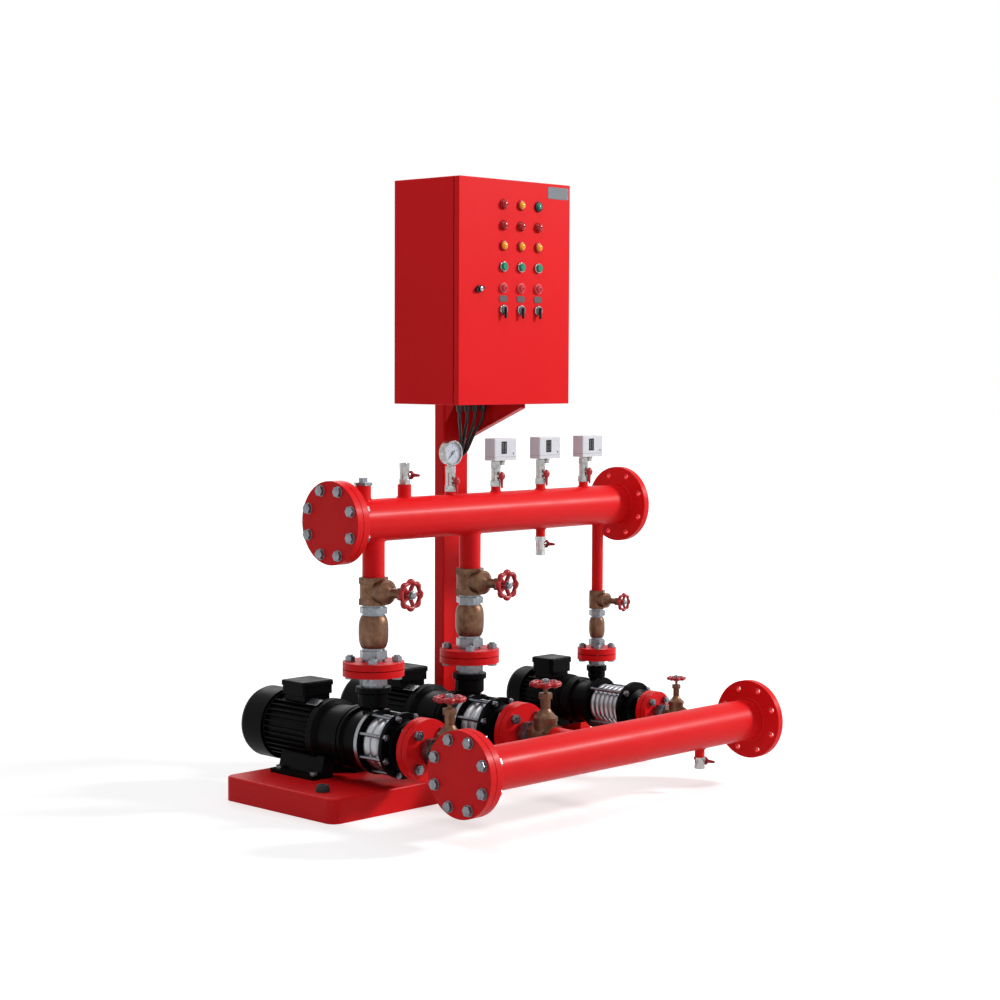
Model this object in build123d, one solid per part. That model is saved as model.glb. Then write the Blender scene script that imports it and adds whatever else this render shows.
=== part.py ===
from build123d import *
from math import cos, radians, sin, tan
from types import SimpleNamespace
import os

# Fire water pump set: two main pumps and one jockey pump between two pipe headers,
# with a control cabinet on a post, all on one folded steel base.
# Millimetres. X runs along the headers, -Y is the suction side, +Z is up.
# The origin is the centre of the base's underside.

# Base tray and post
base_length = 1266.0
base_depth = 448.0
base_height = 66.0
base_sheet = 5.0
base_corner_radius = 28.0
base_edge_radius = 6.0
base_lip = 45.0
rail_width = 70.0
rail_places = (-420.0, 0.0, 420.0)
shaft_height = 178.0
stop_radius = 18.5
stop_height = 18.0
stop_inset_x = 50.0
stop_inset_y = 98.0

post_x = 174.0
post_width = 100.0
post_depth = 40.0
post_wall = 3.0
post_corner = 5.0
post_front = 150.0
post_top = 1600.0
post_foot_width = 150.0
post_foot_depth = 56.0
post_foot_thickness = 8.0
grommet_radius = 22.0
grommet_z = 920.0
gusset_reach = 236.0
gusset_drop = 112.0
gusset_tip = 12.0
gusset_sheet = 4.0
gusset_lip = 22.0
small_gusset_reach = 34.0
small_gusset_drop = 56.0

# Headers, DN100
header_od = 114.3
header_wall = 3.6
suction_y = -620.0
suction_near = -573.0
suction_far = 599.0
discharge_y = -120.0
discharge_z = 766.0
discharge_near = -553.0
discharge_far = 602.0
header_flange_od = 220.0
header_flange_thickness = 20.0
header_flange_pcd = 180.0
header_bolts = 8
header_hole = 18.0
joint_hole = 17.0
pipe_setback = 6.0
weld_size = 5.0
gasket_thickness = 2.0
header_gasket_od = 160.0

# Clearances
running = 0.05
seat = 0.3

# Hexagon bolts and their nuts
m16 = SimpleNamespace(d=16.0, across=24.0, head=10.0, nut=13.0, past=4.0)
m12 = SimpleNamespace(d=12.0, across=19.0, head=7.5, nut=10.0, past=3.0)
m10 = SimpleNamespace(d=10.0, across=17.0, head=6.5, nut=8.0, past=2.5)

# The two pump sizes. Stations with names of their own are along the shaft, counted in Y,
# and lengths of the upright pipe run are counted from the shaft axis.
main = SimpleNamespace(
    pipe_od=60.3, pipe_wall=3.9, bore=50.0, flange_od=165.0, flange_thickness=18.0,
    flange_pcd=125.0, bolt=m16, gasket_od=107.0, thread_depth=14.0, nipple_across=67.0,
    fan_end=325.0, cover_length=92.0, cover_radius=99.0, frame_length=196.0, frame_radius=84.0,
    fin_height=12.0, fin_thickness=3.2, fins=36, foot_height=112.0, foot_spacing=190.0,
    foot_pitch=140.0, foot_front=15.0, foot_thickness=12.0, foot_bolt=m12,
    shield_length=14.0, lantern_length=105.0, lantern_radius=80.0,
    casing_length=88.0, casing_radius=76.0, branch_radius=47.0, branch_root=29.0, branch_height=144.0,
    stage_length=84.0, stage_radius=72.0, stages=3, suction_length=56.0, suction_radius=70.0,
    suction_neck_radius=46.0, suction_neck=14.0, tie_rods=8, tie_radius=5.0, tie_circle=80.0,
    shaft_radius=14.0, core_radius=52.0, core_length=110.0, impeller_radius=52.0,
    terminal_width=104.0, terminal_length=96.0, terminal_height=38.0, terminal_y=150.0,
    nipple_a=30.0, nipple_b=36.0, check_length=87.0, check_radius=40.0, nipple_c=28.0,
    gate_length=74.0, gate_radius=37.0, wheel_offset=144.0, wheel_radius=44.0,
    suction_nipple_a=7.0, suction_nipple_b=38.0)
jockey = SimpleNamespace(
    pipe_od=33.7, pipe_wall=3.2, bore=26.0, flange_od=115.0, flange_thickness=16.5,
    flange_pcd=85.0, bolt=m12, gasket_od=68.0, thread_depth=11.0, nipple_across=42.0,
    fan_end=185.0, cover_length=62.0, cover_radius=78.0, frame_length=132.0, frame_radius=64.0,
    fin_height=10.0, fin_thickness=3.0, fins=32, foot_height=80.0, foot_spacing=125.0,
    foot_pitch=100.0, foot_front=0.0, foot_thickness=10.0, foot_bolt=m10,
    shield_length=12.0, lantern_length=50.0, lantern_radius=62.0,
    casing_length=87.0, casing_radius=60.0, branch_radius=30.0, branch_root=19.0, branch_height=110.0,
    stage_length=122.0, stage_radius=57.0, stages=7, suction_length=56.0, suction_radius=57.0,
    suction_neck_radius=28.0, suction_neck=8.0, tie_rods=4, tie_radius=5.0, tie_circle=68.0,
    shaft_radius=10.0, core_radius=38.0, core_length=76.0, impeller_radius=43.0,
    terminal_width=88.0, terminal_length=80.0, terminal_height=44.0, terminal_y=62.0,
    nipple_a=19.0, nipple_b=30.0, check_length=60.0, check_radius=23.5, nipple_c=26.0,
    gate_length=54.0, gate_radius=24.0, wheel_offset=104.0, wheel_radius=28.0,
    suction_nipple_a=4.0, suction_nipple_b=42.0)
pumps = ((-399.0, main), (-37.0, main), (498.0, jockey))
rim_width = 12.0
socket_wall = 4.5
cover_sheet = 2.0
cover_overlap = 6.0

# Small valves and instruments, placed along the headers
plug_x = -436.0
vent_x = -287.0
gauge_x = -113.5
switch_places = (65.0, 249.0, 433.0)
drain_x = 250.0
suction_drain_x = 365.0
tap_radius = 13.5
tap_wall = 3.2
wide_tap_radius = 18.5
plug_tap_radius = 21.0
gauge_tap = 8.0
switch_tap = 15.0
drain_tap = 22.0
suction_drain_tap = 23.0
vent_tap = 34.0
plug_tap = 37.0
instrument_valve = 70.0
vent_valve = 58.0
drain_valve = 54.0
suction_drain_valve = 32.0
lever_share = 0.42
small_valve_radius = 14.0
small_thread = 10.0
lever_reach = 38.0
lever_pin = 3.0
lever_neck = 7.0
gauge_radius = 34.0
gauge_depth = 26.0
gauge_rise = 36.0
needle_pin = 2.0
zero_mark = -135.0
switch_width = 90.0
switch_depth = 40.0
switch_height = 62.0
switch_side = 18.5
switch_gland_offset = 25.0

# Control cabinet
cabinet_x = 153.5
cabinet_width = 452.0
cabinet_height = 630.0
cabinet_bottom = 1067.0
cabinet_front = -108.5
cabinet_sheet = 1.5
door_depth = 18.0
door_seam = 4.0
collar_inset = 14.0
collar_depth = 15.5
collar_lip = 10.0
hinge_inset = 5.0
hinge_setback = 14.0
hinge_pin_radius = 2.0
hinge_knuckle_radius = 3.7
hinge_knuckle_length = 34.0
hinge_heights = (110.0, 520.0)
latch_x = 6.0
latch_z = 1389.0
latch_tilt = 16.0
plate_gap = 16.0
plate_thickness = 2.0
plate_margin = 26.0

# Devices on the door
device_columns = (103.0, 174.0, 245.0)
lamp_rows = (1628.0, 1569.5, 1512.5)
start_row = 1454.0
stop_row = 1395.0
selector_row = 1333.0
bezel_radius = 14.75
device_hole_radius = 11.0
button_radius = 10.5
button_travel = 5.0
button_stem = 3.0
device_depth = 44.0

# Cables under the cabinet
gland_places = (101.0, 133.0, 165.0, 197.0)
gland_y = 62.0
gland_radius = 12.0
gland_height = 24.0
cable_radius = 5.0

# Worked out from the driving sizes
cabinet_back = post_front
header_radius = header_od / 2
door_back = cabinet_front + door_depth
box_front = door_back + door_seam
hinge_x = cabinet_x + cabinet_width / 2 - hinge_inset
hinge_y = cabinet_front + hinge_setback


def place(shape, origin, z_dir=(0, 0, 1), x_dir=(1, 0, 0)):
    """Stands a shape made along Z at origin on the axis z_dir."""
    return Plane(origin=origin, x_dir=x_dir, z_dir=z_dir).location * shape


def turned(points):
    """A solid of revolution about Z from an outline of (radius, height) points."""
    outline = Polyline(*points, close=True)
    return revolve(Plane.XZ * make_face(outline), axis=Axis.Z)


def disc(radius, height, bottom=0.0):
    """A round bar along Z."""
    return Pos(0, 0, bottom) * Cylinder(radius, height, align=(Align.CENTER, Align.CENTER, Align.MIN))


def pipe(outer, inner, height, bottom=0.0):
    """A tube along Z."""
    return disc(outer, height, bottom) - disc(inner, height, bottom)


def hexagon(across, height, bottom=0.0):
    """A hexagonal prism along Z, sized across its flats."""
    outline = RegularPolygon(radius=across / 2, side_count=6, major_radius=False)
    return Pos(0, 0, bottom) * extrude(outline, height)


def block(size_x, size_y, size_z, x=0.0, y=0.0, z=0.0):
    """A box centred on x and y that stands on z."""
    return Pos(x, y, z) * Box(size_x, size_y, size_z, align=(Align.CENTER, Align.CENTER, Align.MIN))


def ring_places(count, circle, first=0.0):
    """Centres of a circle of holes about Z."""
    step = 360.0 / count
    return [(circle / 2 * cos(radians(first + i * step)), circle / 2 * sin(radians(first + i * step)))
            for i in range(count)]


def flange(outer, inner, thickness, pcd, count, hole):
    """A flat flange along Z, its holes straddling the centre lines."""
    body = disc(outer / 2, thickness)
    if inner:
        body -= disc(inner / 2, thickness)
    for x, y in ring_places(count, pcd, 180.0 / count):
        body -= Pos(x, y) * disc(hole / 2, thickness)
    return body


def bolt(size, grip):
    """A hexagon bolt with its nut: the grip runs from z 0 to grip, the head is below."""
    screw = hexagon(size.across, size.head, -size.head)
    screw += disc(size.d / 2, grip + size.nut + size.past)
    nut = hexagon(size.across, size.nut, grip) - disc(size.d / 2, size.nut, grip)
    return [screw, nut]


def save(name, shapes):
    """Writes the shapes as the separate solids of one node."""
    solids = [solid for shape in shapes for solid in shape.solids()]
    export_step(Compound(children=solids), os.path.join("parts", name + ".step"))


def pump_line(pump):
    """Stations of one pump in Y, from the fan end to its suction valve, and in Z up to its riser."""
    line = SimpleNamespace()
    line.cover_front = pump.fan_end - pump.cover_length
    line.frame_back = line.cover_front + cover_overlap
    line.frame_front = line.frame_back - pump.frame_length
    line.lantern_front = line.frame_front - pump.lantern_length
    line.casing_front = line.lantern_front - pump.casing_length
    line.stage_front = line.casing_front - pump.stage_length
    line.suction_front = line.stage_front - pump.suction_length
    line.flange_back = line.suction_front - pump.suction_nipple_a
    line.flange_front = line.flange_back - 2 * pump.flange_thickness - gasket_thickness
    line.gate_back = line.flange_front - pump.suction_nipple_b
    line.gate_y = line.gate_back - pump.gate_length / 2
    line.gate_front = line.gate_back - pump.gate_length
    line.branch_top = shaft_height + pump.branch_height
    line.flange_low = line.branch_top + pump.nipple_a
    line.flange_high = line.flange_low + 2 * pump.flange_thickness + gasket_thickness
    line.check_low = line.flange_high + pump.nipple_b
    line.check_high = line.check_low + pump.check_length
    line.gate_low = line.check_high + pump.nipple_c
    line.gate_z = line.gate_low + pump.gate_length / 2
    line.gate_high = line.gate_low + pump.gate_length
    return line


def base_frame():
    """The folded tray with its inward lips, the plinths of the small motor, and the welded cross rails."""
    tray = block(base_length, base_depth, base_height)
    tray = fillet(tray.edges().filter_by(Axis.Z), base_corner_radius)
    inner_radius = base_corner_radius - base_sheet
    hollow = block(base_length - 2 * base_sheet, base_depth - 2 * base_sheet,
                   base_height - 2 * base_sheet, z=base_sheet)
    hollow = fillet(hollow.edges().filter_by(Axis.Z), inner_radius)
    mouth = block(base_length - 2 * base_lip, base_depth - 2 * base_lip, base_sheet)
    tray = fillet(tray.faces().sort_by(Axis.Z)[-1].edges(), base_edge_radius)
    tray = tray - hollow - mouth
    rails = []
    for x in rail_places:
        rail = block(rail_width, base_depth - 2 * base_sheet, base_height - base_sheet, x=x)
        rail -= block(rail_width - 2 * base_sheet, base_depth, base_height, x=x, z=base_sheet)
        rails.append(rail - tray)
    x, pump = pumps[2]
    plinth_height = shaft_height - pump.foot_height - base_height
    for side in (-1, 1):
        tray += block(44, pump.foot_pitch + 44, plinth_height, x=x + side * pump.foot_spacing / 2,
                      y=pump.foot_front + pump.foot_pitch / 2, z=base_height)
    for x, pump in pumps:
        foot_z = shaft_height - pump.foot_height
        for spot_x, spot_y in foot_places(x, pump):
            tray -= Pos(spot_x, spot_y) * disc(pump.foot_bolt.d / 2 + seat, foot_z, base_height - base_sheet)
    for side in (-1, 1):
        hole = disc(m12.d / 2 + seat, 2 * base_sheet, base_height - 2 * base_sheet)
        tray -= Pos(post_x + side * post_bolt_offset(), post_bolt_y()) * hole
    return [tray] + rails


def foot_places(x, pump):
    """Centres of the four foot bolts of one motor."""
    half = pump.foot_spacing / 2
    return [(x + side * half, pump.foot_front + step * pump.foot_pitch)
            for side in (-1, 1) for step in (0, 1)]


def post_bolt_offset():
    return post_foot_width / 2 - 13.0


def post_bolt_y():
    return post_front + post_depth / 2


def header_pipe(y, z, near, far, holes):
    """One header tube, with the holes that its branches open into."""
    start = near + header_flange_thickness + gasket_thickness + pipe_setback
    length = far - pipe_setback - start
    tube = pipe(header_radius, header_radius - header_wall, length)
    tube = place(tube, (start, y, z), (1, 0, 0), (0, 1, 0))
    for x, radius, direction in holes:
        tube -= place(disc(radius, header_od), (x, y, z), direction)
    return tube


def taps():
    """The small sockets: place, radius, direction, reach from the header axis and which header."""
    top = header_radius
    upper = [(plug_x, plug_tap_radius, (0, 0, 1), top + plug_tap)]
    upper.append((vent_x, wide_tap_radius, (0, 0, 1), top + vent_tap))
    upper.append((gauge_x, tap_radius, (0, 0, 1), top + gauge_tap))
    for x in switch_places:
        upper.append((x, tap_radius, (0, 0, 1), top + switch_tap))
    upper.append((drain_x, tap_radius, (0, 0, -1), top + drain_tap))
    lower = [(suction_drain_x, tap_radius, (0, 0, -1), top + suction_drain_tap)]
    return upper, lower


def branch(x, y, z, radius, wall, direction, reach):
    """A short pipe from a header, cut to the saddle of the header's wall."""
    arm = place(pipe(radius, radius - wall, reach), (x, y, z), direction)
    saddle = place(disc(header_radius, 4 * radius, -2 * radius), (x, y, z), (1, 0, 0), (0, 1, 0))
    return arm - saddle


def headers():
    """The two header tubes, and all that is welded onto them."""
    upper, lower = taps()
    upper_holes = [(x, radius - tap_wall, direction) for x, radius, direction, reach in upper]
    lower_holes = [(x, radius - tap_wall, direction) for x, radius, direction, reach in lower]
    arms = []
    for x, radius, direction, reach in upper:
        arms.append(branch(x, discharge_y, discharge_z, radius, tap_wall, direction, reach))
    for x, radius, direction, reach in lower:
        arms.append(branch(x, suction_y, shaft_height, radius, tap_wall, direction, reach))
    for x, pump in pumps:
        line = pump_line(pump)
        radius = pump.pipe_od / 2
        riser = discharge_z - line.gate_high + pump.thread_depth
        stub = line.gate_front + pump.thread_depth - suction_y
        arms.append(branch(x, discharge_y, discharge_z, radius, pump.pipe_wall, (0, 0, -1), riser))
        arms.append(branch(x, suction_y, shaft_height, radius, pump.pipe_wall, (0, 1, 0), stub))
        upper_holes.append((x, radius - pump.pipe_wall, (0, 0, -1)))
        lower_holes.append((x, radius - pump.pipe_wall, (0, 1, 0)))
    suction = header_pipe(suction_y, shaft_height, suction_near, suction_far, lower_holes)
    discharge = header_pipe(discharge_y, discharge_z, discharge_near, discharge_far, upper_holes)
    return suction, discharge, arms


def header_ends():
    """Each header's axis and end faces."""
    return ((suction_y, shaft_height, suction_near, suction_far),
            (discharge_y, discharge_z, discharge_near, discharge_far))


def header_flanges():
    """Slip-on flanges with their weld bead, blind flanges, gaskets and bolts of both headers."""
    bore = header_od + 2 * seat
    outer = header_flange_od
    top = header_flange_thickness
    bead = turned([(bore / 2, top), (bore / 2 + weld_size, top), (bore / 2, top + weld_size)])
    open_end = bead + flange(outer, bore, top, header_flange_pcd, header_bolts, header_hole)
    bolted_end = bead + flange(outer, bore, top, header_flange_pcd, header_bolts, joint_hole)
    blind = flange(outer, 0, top, header_flange_pcd, header_bolts, joint_hole)
    gasket = pipe(header_gasket_od / 2, header_radius, gasket_thickness)
    flanges = []
    blinds = []
    gaskets = []
    bolts = []
    grip = 2 * header_flange_thickness + gasket_thickness
    for y, z, near, far in header_ends():
        behind = near + header_flange_thickness + gasket_thickness
        flanges.append(place(bolted_end, (behind, y, z), (1, 0, 0), (0, 1, 0)))
        flanges.append(place(open_end, (far, y, z), (-1, 0, 0), (0, 1, 0)))
        blinds.append(place(blind, (near, y, z), (1, 0, 0), (0, 1, 0)))
        gaskets.append(place(gasket, (near + header_flange_thickness, y, z), (1, 0, 0), (0, 1, 0)))
        for across, up in ring_places(header_bolts, header_flange_pcd, 180.0 / header_bolts):
            for piece in bolt(m16, grip):
                bolts.append(place(piece, (near, y + across, z + up), (1, 0, 0), (0, 1, 0)))
    return flanges, blinds, gaskets, bolts


def pump_flange_sets():
    """The pairs of screwed flanges on each pump, with their gaskets and bolts."""
    flanges = []
    gaskets = []
    bolts = []
    for x, pump in pumps:
        line = pump_line(pump)
        hole = pump.bolt.d + 2.0
        ring = flange(pump.flange_od, pump.pipe_od + 2 * seat, pump.flange_thickness,
                      pump.flange_pcd, 4, hole)
        gasket = pipe(pump.gasket_od / 2, pump.pipe_od / 2 + seat, gasket_thickness)
        step = pump.flange_thickness + gasket_thickness
        for origin, direction in (((x, line.flange_back, shaft_height), (0, -1, 0)),
                                  ((x, discharge_y, line.flange_low), (0, 0, 1))):
            for shift in (0.0, step):
                flanges.append(place(Pos(0, 0, shift) * ring, origin, direction))
            gaskets.append(place(Pos(0, 0, pump.flange_thickness) * gasket, origin, direction))
            for across, up in ring_places(4, pump.flange_pcd, 45.0):
                for piece in bolt(pump.bolt, 2 * pump.flange_thickness + gasket_thickness):
                    bolts.append(place(Pos(across, up) * piece, origin, direction))
    return flanges, gaskets, bolts


def nipple(pump, length, low_depth, high_depth):
    """A hexagon nipple: the hexagon fills the gap from z 0 to length, a spigot goes on at each end."""
    radius = pump.pipe_od / 2
    body = hexagon(pump.nipple_across, length * 0.62, length * 0.19)
    body += disc(radius, low_depth + length + high_depth, -low_depth)
    return body - disc(pump.bore / 2 - 3.0, low_depth + length + high_depth, -low_depth)


def pipe_nipples():
    """The hexagon nipples between the flanges and valves, and the plug of the filling socket."""
    pieces = []
    for x, pump in pumps:
        line = pump_line(pump)
        deep = pump.thread_depth - 1.0
        through = pump.flange_thickness - 1.0
        upright = ((line.branch_top, pump.nipple_a, deep, through),
                   (line.flange_high, pump.nipple_b, through, deep),
                   (line.check_high, pump.nipple_c, deep, deep))
        for low, length, low_depth, high_depth in upright:
            pieces.append(place(nipple(pump, length, low_depth, high_depth), (x, discharge_y, low)))
        level = ((line.suction_front, pump.suction_nipple_a, deep, through),
                 (line.flange_front, pump.suction_nipple_b, through, deep))
        for back, length, low_depth, high_depth in level:
            piece = nipple(pump, length, low_depth, high_depth)
            pieces.append(place(piece, (x, back, shaft_height), (0, -1, 0)))
    top = discharge_z + header_radius + plug_tap
    plug = hexagon(44.0, 8.0) + block(16, 16, 12, z=8.0)
    plug += disc(plug_tap_radius - tap_wall - seat, 14.0, -14.0)
    pieces.append(Pos(plug_x, discharge_y, top) * plug)
    return pieces


def socketed(body, pump, length):
    """Cuts the threaded sockets into both ends of a valve body along Z."""
    socket = disc(pump.pipe_od / 2 + seat, pump.thread_depth)
    return body - socket - Pos(0, 0, length - pump.thread_depth) * socket


def gate_body(pump):
    """A gate valve body along Z with its side neck along X, centred on half its length."""
    length = pump.gate_length
    big = pump.gate_radius
    end = pump.pipe_od / 2 + socket_wall
    band = pump.thread_depth + 3.0
    body = hexagon(2 * end, band) + hexagon(2 * end, band, length - band)
    body += disc(big, length - 2 * band, band)
    neck = place(disc(big * 0.86, pump.wheel_offset * 0.30), (0, 0, length / 2), (1, 0, 0), (0, 1, 0))
    body += neck
    body = socketed(body, pump, length)
    room = disc(stem_radius(pump) + 1.0, pump.wheel_offset)
    return body - place(room, (0, 0, length / 2), (1, 0, 0), (0, 1, 0))


def stem_radius(pump):
    return pump.wheel_radius * 0.125


def bonnet(pump):
    """The bonnet with its gland nut, along Z from the valve's centre, bored for the stem."""
    offset = pump.wheel_offset
    big = pump.gate_radius * 0.86
    start = offset * 0.30
    outline = [(stem_radius(pump) + running, start), (big + 1.5, start), (big + 1.5, start + big * 0.34),
               (big * 0.86, start + big * 0.48), (big * 0.58, start + big * 0.78),
               (big * 0.42, start + big * 1.05), (big * 0.42, offset * 0.72),
               (stem_radius(pump) + running, offset * 0.72)]
    body = turned(outline)
    nut = hexagon(big * 1.02, offset * 0.11, offset * 0.72) - disc(stem_radius(pump) + running, offset)
    return body + nut


def stem(pump):
    """The stem along Z from inside the valve to the nut that holds the wheel."""
    offset = pump.wheel_offset
    radius = stem_radius(pump)
    rod = disc(radius, offset * 0.80, offset * 0.24)
    return rod + hexagon(radius * 3.4, radius * 1.4, offset + wheel_height(pump) / 2)


def wheel_height(pump):
    return pump.wheel_radius * 0.22


def handwheel(pump):
    """The scalloped handwheel about Z, its plane at the wheel offset."""
    radius = pump.wheel_radius
    lobes = 8
    height = wheel_height(pump)
    outline = Circle(radius)
    for x, y in ring_places(lobes, radius * 2.16, 180.0 / lobes):
        outline -= Pos(x, y) * Circle(radius * 0.20)
    inner = Circle(radius * 0.64) - Circle(radius * 0.27)
    for i in range(5):
        inner -= Rot(0, 0, 72.0 * i) * Rectangle(radius, radius * 0.20, align=(Align.MIN, Align.CENTER))
    wheel = extrude(outline - inner - Circle(stem_radius(pump) + running), height / 2, both=True)
    hub = pipe(radius * 0.27, stem_radius(pump) + running, height * 1.9, -height * 1.4)
    return Pos(0, 0, pump.wheel_offset) * (wheel + hub)


def check_body(pump):
    """A spring check valve: a barrel between two hexagon ends."""
    length = pump.check_length
    end = pump.pipe_od / 2 + socket_wall
    band = pump.thread_depth * 0.9
    barrel = disc(pump.check_radius, length - 1.4 * band, 0.7 * band)
    barrel = fillet(barrel.edges(), pump.check_radius * 0.42)
    body = barrel + hexagon(2 * end, band) + hexagon(2 * end, band, length - band)
    return socketed(body, pump, length)


def line_valves():
    """Gate valves, bonnets, check valves and the handwheels of every pump."""
    bodies = []
    bonnets = []
    checks = []
    wheels = {}
    for number, (x, pump) in enumerate(pumps, 1):
        line = pump_line(pump)
        body = gate_body(pump)
        top = bonnet(pump)
        upright = Plane(origin=(x, discharge_y, line.gate_low), x_dir=(0, -1, 0), z_dir=(0, 0, 1)).location
        level = Plane(origin=(x, line.gate_back, shaft_height), x_dir=(0, 0, 1), z_dir=(0, -1, 0)).location
        bodies += [upright * body, level * body]
        stations = {"discharge": ((x, discharge_y, line.gate_z), (0, -1, 0)),
                    "suction": ((x, line.gate_y, shaft_height), (0, 0, 1))}
        for side, (origin, direction) in stations.items():
            bonnets.append(place(top, origin, direction))
            pieces = [place(handwheel(pump), origin, direction), place(stem(pump), origin, direction)]
            wheels[f"{side}_handwheel_{number}"] = pieces
        checks.append(place(check_body(pump), (x, discharge_y, line.check_low)))
    return bodies, bonnets, checks, wheels


def small_valve_body(length):
    """A small ball valve along Z: it screws onto a tap and has a neck for its lever along X."""
    radius = small_valve_radius
    body = hexagon(2 * radius, length * 0.24)
    body += disc(radius * 0.93, length * 0.5, length * 0.24)
    body += hexagon(1.8 * radius, length * 0.26, length * 0.74)
    middle = (0, 0, length * lever_share)
    body += place(disc(lever_neck, radius + 4.0), middle, (1, 0, 0), (0, 1, 0))
    bore = radius * 0.55
    body -= disc(bore, small_thread + 2.0) + disc(bore, small_thread, length - small_thread)
    return body - place(disc(lever_pin + running, radius + 8.0), middle, (1, 0, 0), (0, 1, 0))


def butterfly_lever():
    """A butterfly lever about Z: a pin, a boss and two rounded wings along Y."""
    low = small_valve_radius + 5.0
    pin = disc(lever_pin, low + 4.0, 6.0)
    plate = extrude(Ellipse(6.5, lever_reach / 2), 4.0)
    rib = extrude(Rectangle(3.0, lever_reach * 0.8), 7.0)
    return Pos(0, 0, low) * (plate + rib) + disc(6.0, 5.5, low) + pin


def valve_stations():
    """Each small valve: its lever's node, foot, flow, side of the lever, length, and whether it is shut."""
    up = (0, 0, 1)
    down = (0, 0, -1)
    front = (0, -1, 0)
    side = (1, 0, 0)
    top = discharge_z + header_radius
    foot = (vent_x, discharge_y, top + vent_tap)
    stations = [("vent_valve_lever", foot, up, side, vent_valve, True)]
    foot = (gauge_x, discharge_y, top + gauge_tap)
    stations.append(("gauge_valve_lever", foot, up, front, instrument_valve, False))
    for number, x in enumerate(switch_places, 1):
        foot = (x, discharge_y, top + switch_tap)
        stations.append((f"switch_valve_lever_{number}", foot, up, front, instrument_valve, False))
    foot = (drain_x, discharge_y, discharge_z - header_radius - drain_tap)
    stations.append(("header_drain_lever", foot, down, side, drain_valve, True))
    foot = (suction_drain_x, suction_y, shaft_height - header_radius - suction_drain_tap)
    stations.append(("suction_drain_lever", foot, down, side, suction_drain_valve, True))
    return stations


def small_valves():
    """The bodies and levers of all the small ball valves."""
    bodies = []
    levers = {}
    for name, foot, flow, side, length, shut in valve_stations():
        bodies.append(Plane(origin=foot, x_dir=side, z_dir=flow).location * small_valve_body(length))
        centre = tuple(f + d * length * lever_share for f, d in zip(foot, flow))
        across = Vector(*flow).cross(Vector(*side))
        x_dir = (across.X, across.Y, across.Z)
        if shut:
            x_dir = flow
        levers[name] = [Plane(origin=centre, x_dir=x_dir, z_dir=side).location * butterfly_lever()]
    return bodies, levers


def gauge():
    """The pressure gauge on its valve, and its needle on a pin in the middle of the dial."""
    foot = discharge_z + header_radius + gauge_tap + instrument_valve
    centre = (gauge_x, discharge_y, foot + gauge_rise)
    half = gauge_depth / 2
    dial = half - 6.0
    case = turned([(0, -half), (gauge_radius - 2.0, -half), (gauge_radius - 2.0, half - 5.0),
                   (gauge_radius, half - 5.0), (gauge_radius, half), (gauge_radius - 4.0, half),
                   (gauge_radius - 4.0, dial), (needle_pin, dial), (needle_pin, half - 2.0), (0, half - 2.0)])
    case = place(case, centre, (0, -1, 0))
    shank = disc(small_valve_radius * 0.5, gauge_rise - gauge_radius + 6.0 + small_thread, -small_thread)
    shank += hexagon(17.0, 8.0)
    shank = Pos(gauge_x, discharge_y, foot) * shank
    shank -= place(disc(gauge_radius - 2.0, gauge_depth, -half), centre, (0, -1, 0))
    outline = Circle(4.5) + Polygon((0, -1.6), (24, -0.4), (24, 0.4), (0, 1.6), align=None)
    outline += Rectangle(9.0, 2.4, align=(Align.MAX, Align.CENTER))
    needle = extrude(outline - Circle(needle_pin + running), 0.8)
    needle = place(Rot(0, 0, zero_mark) * Pos(0, 0, dial + 1.6) * needle, centre, (0, -1, 0))
    return [case, shank], [needle]


def pressure_switches():
    """The three switches: a moulded box, its threaded shank and its cable gland."""
    foot = discharge_z + header_radius + switch_tap + instrument_valve
    pieces = []
    for x in switch_places:
        low = foot + 3.0
        box = block(switch_width, switch_depth, switch_height)
        box = fillet(box.edges().filter_by(Axis.Z), 4.0)
        box = fillet(box.faces().sort_by(Axis.Z)[-1].edges(), 2.5)
        pieces.append(Pos(x + switch_side, discharge_y, low) * box)
        shank = disc(small_valve_radius * 0.5, 3.0 + small_thread, -small_thread) + hexagon(20.0, 3.0)
        pieces.append(Pos(x, discharge_y, foot) * shank)
        gland = hexagon(17.0, 6.0, -6.0) + disc(7.5, 8.0, -14.0)
        pieces.append(Pos(x + switch_gland_offset, discharge_y, low) * gland)
    return pieces


def finned_frame(pump):
    """The ribbed motor frame along Z, with its feet towards -Y."""
    length = pump.frame_length
    outline = Circle(pump.frame_radius)
    reach = pump.frame_radius + pump.fin_height
    for i in range(pump.fins):
        angle = (i + 0.5) * 360.0 / pump.fins
        if 60.0 < angle < 120.0 or 228.0 < angle < 312.0:
            continue
        fin = Rectangle(reach - 2.0, pump.fin_thickness, align=(Align.MIN, Align.CENTER))
        outline += Rot(0, 0, angle) * fin
    middle = extrude(outline, length - 2 * pump.shield_length)
    frame = Pos(0, 0, pump.shield_length) * middle
    shield = turned([(0, 0), (reach * 0.90, 0), (reach * 0.97, 4.0), (reach * 0.97, pump.shield_length),
                     (0, pump.shield_length)])
    frame += shield
    frame += Pos(0, 0, length - pump.shield_length) * shield
    return frame


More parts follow.
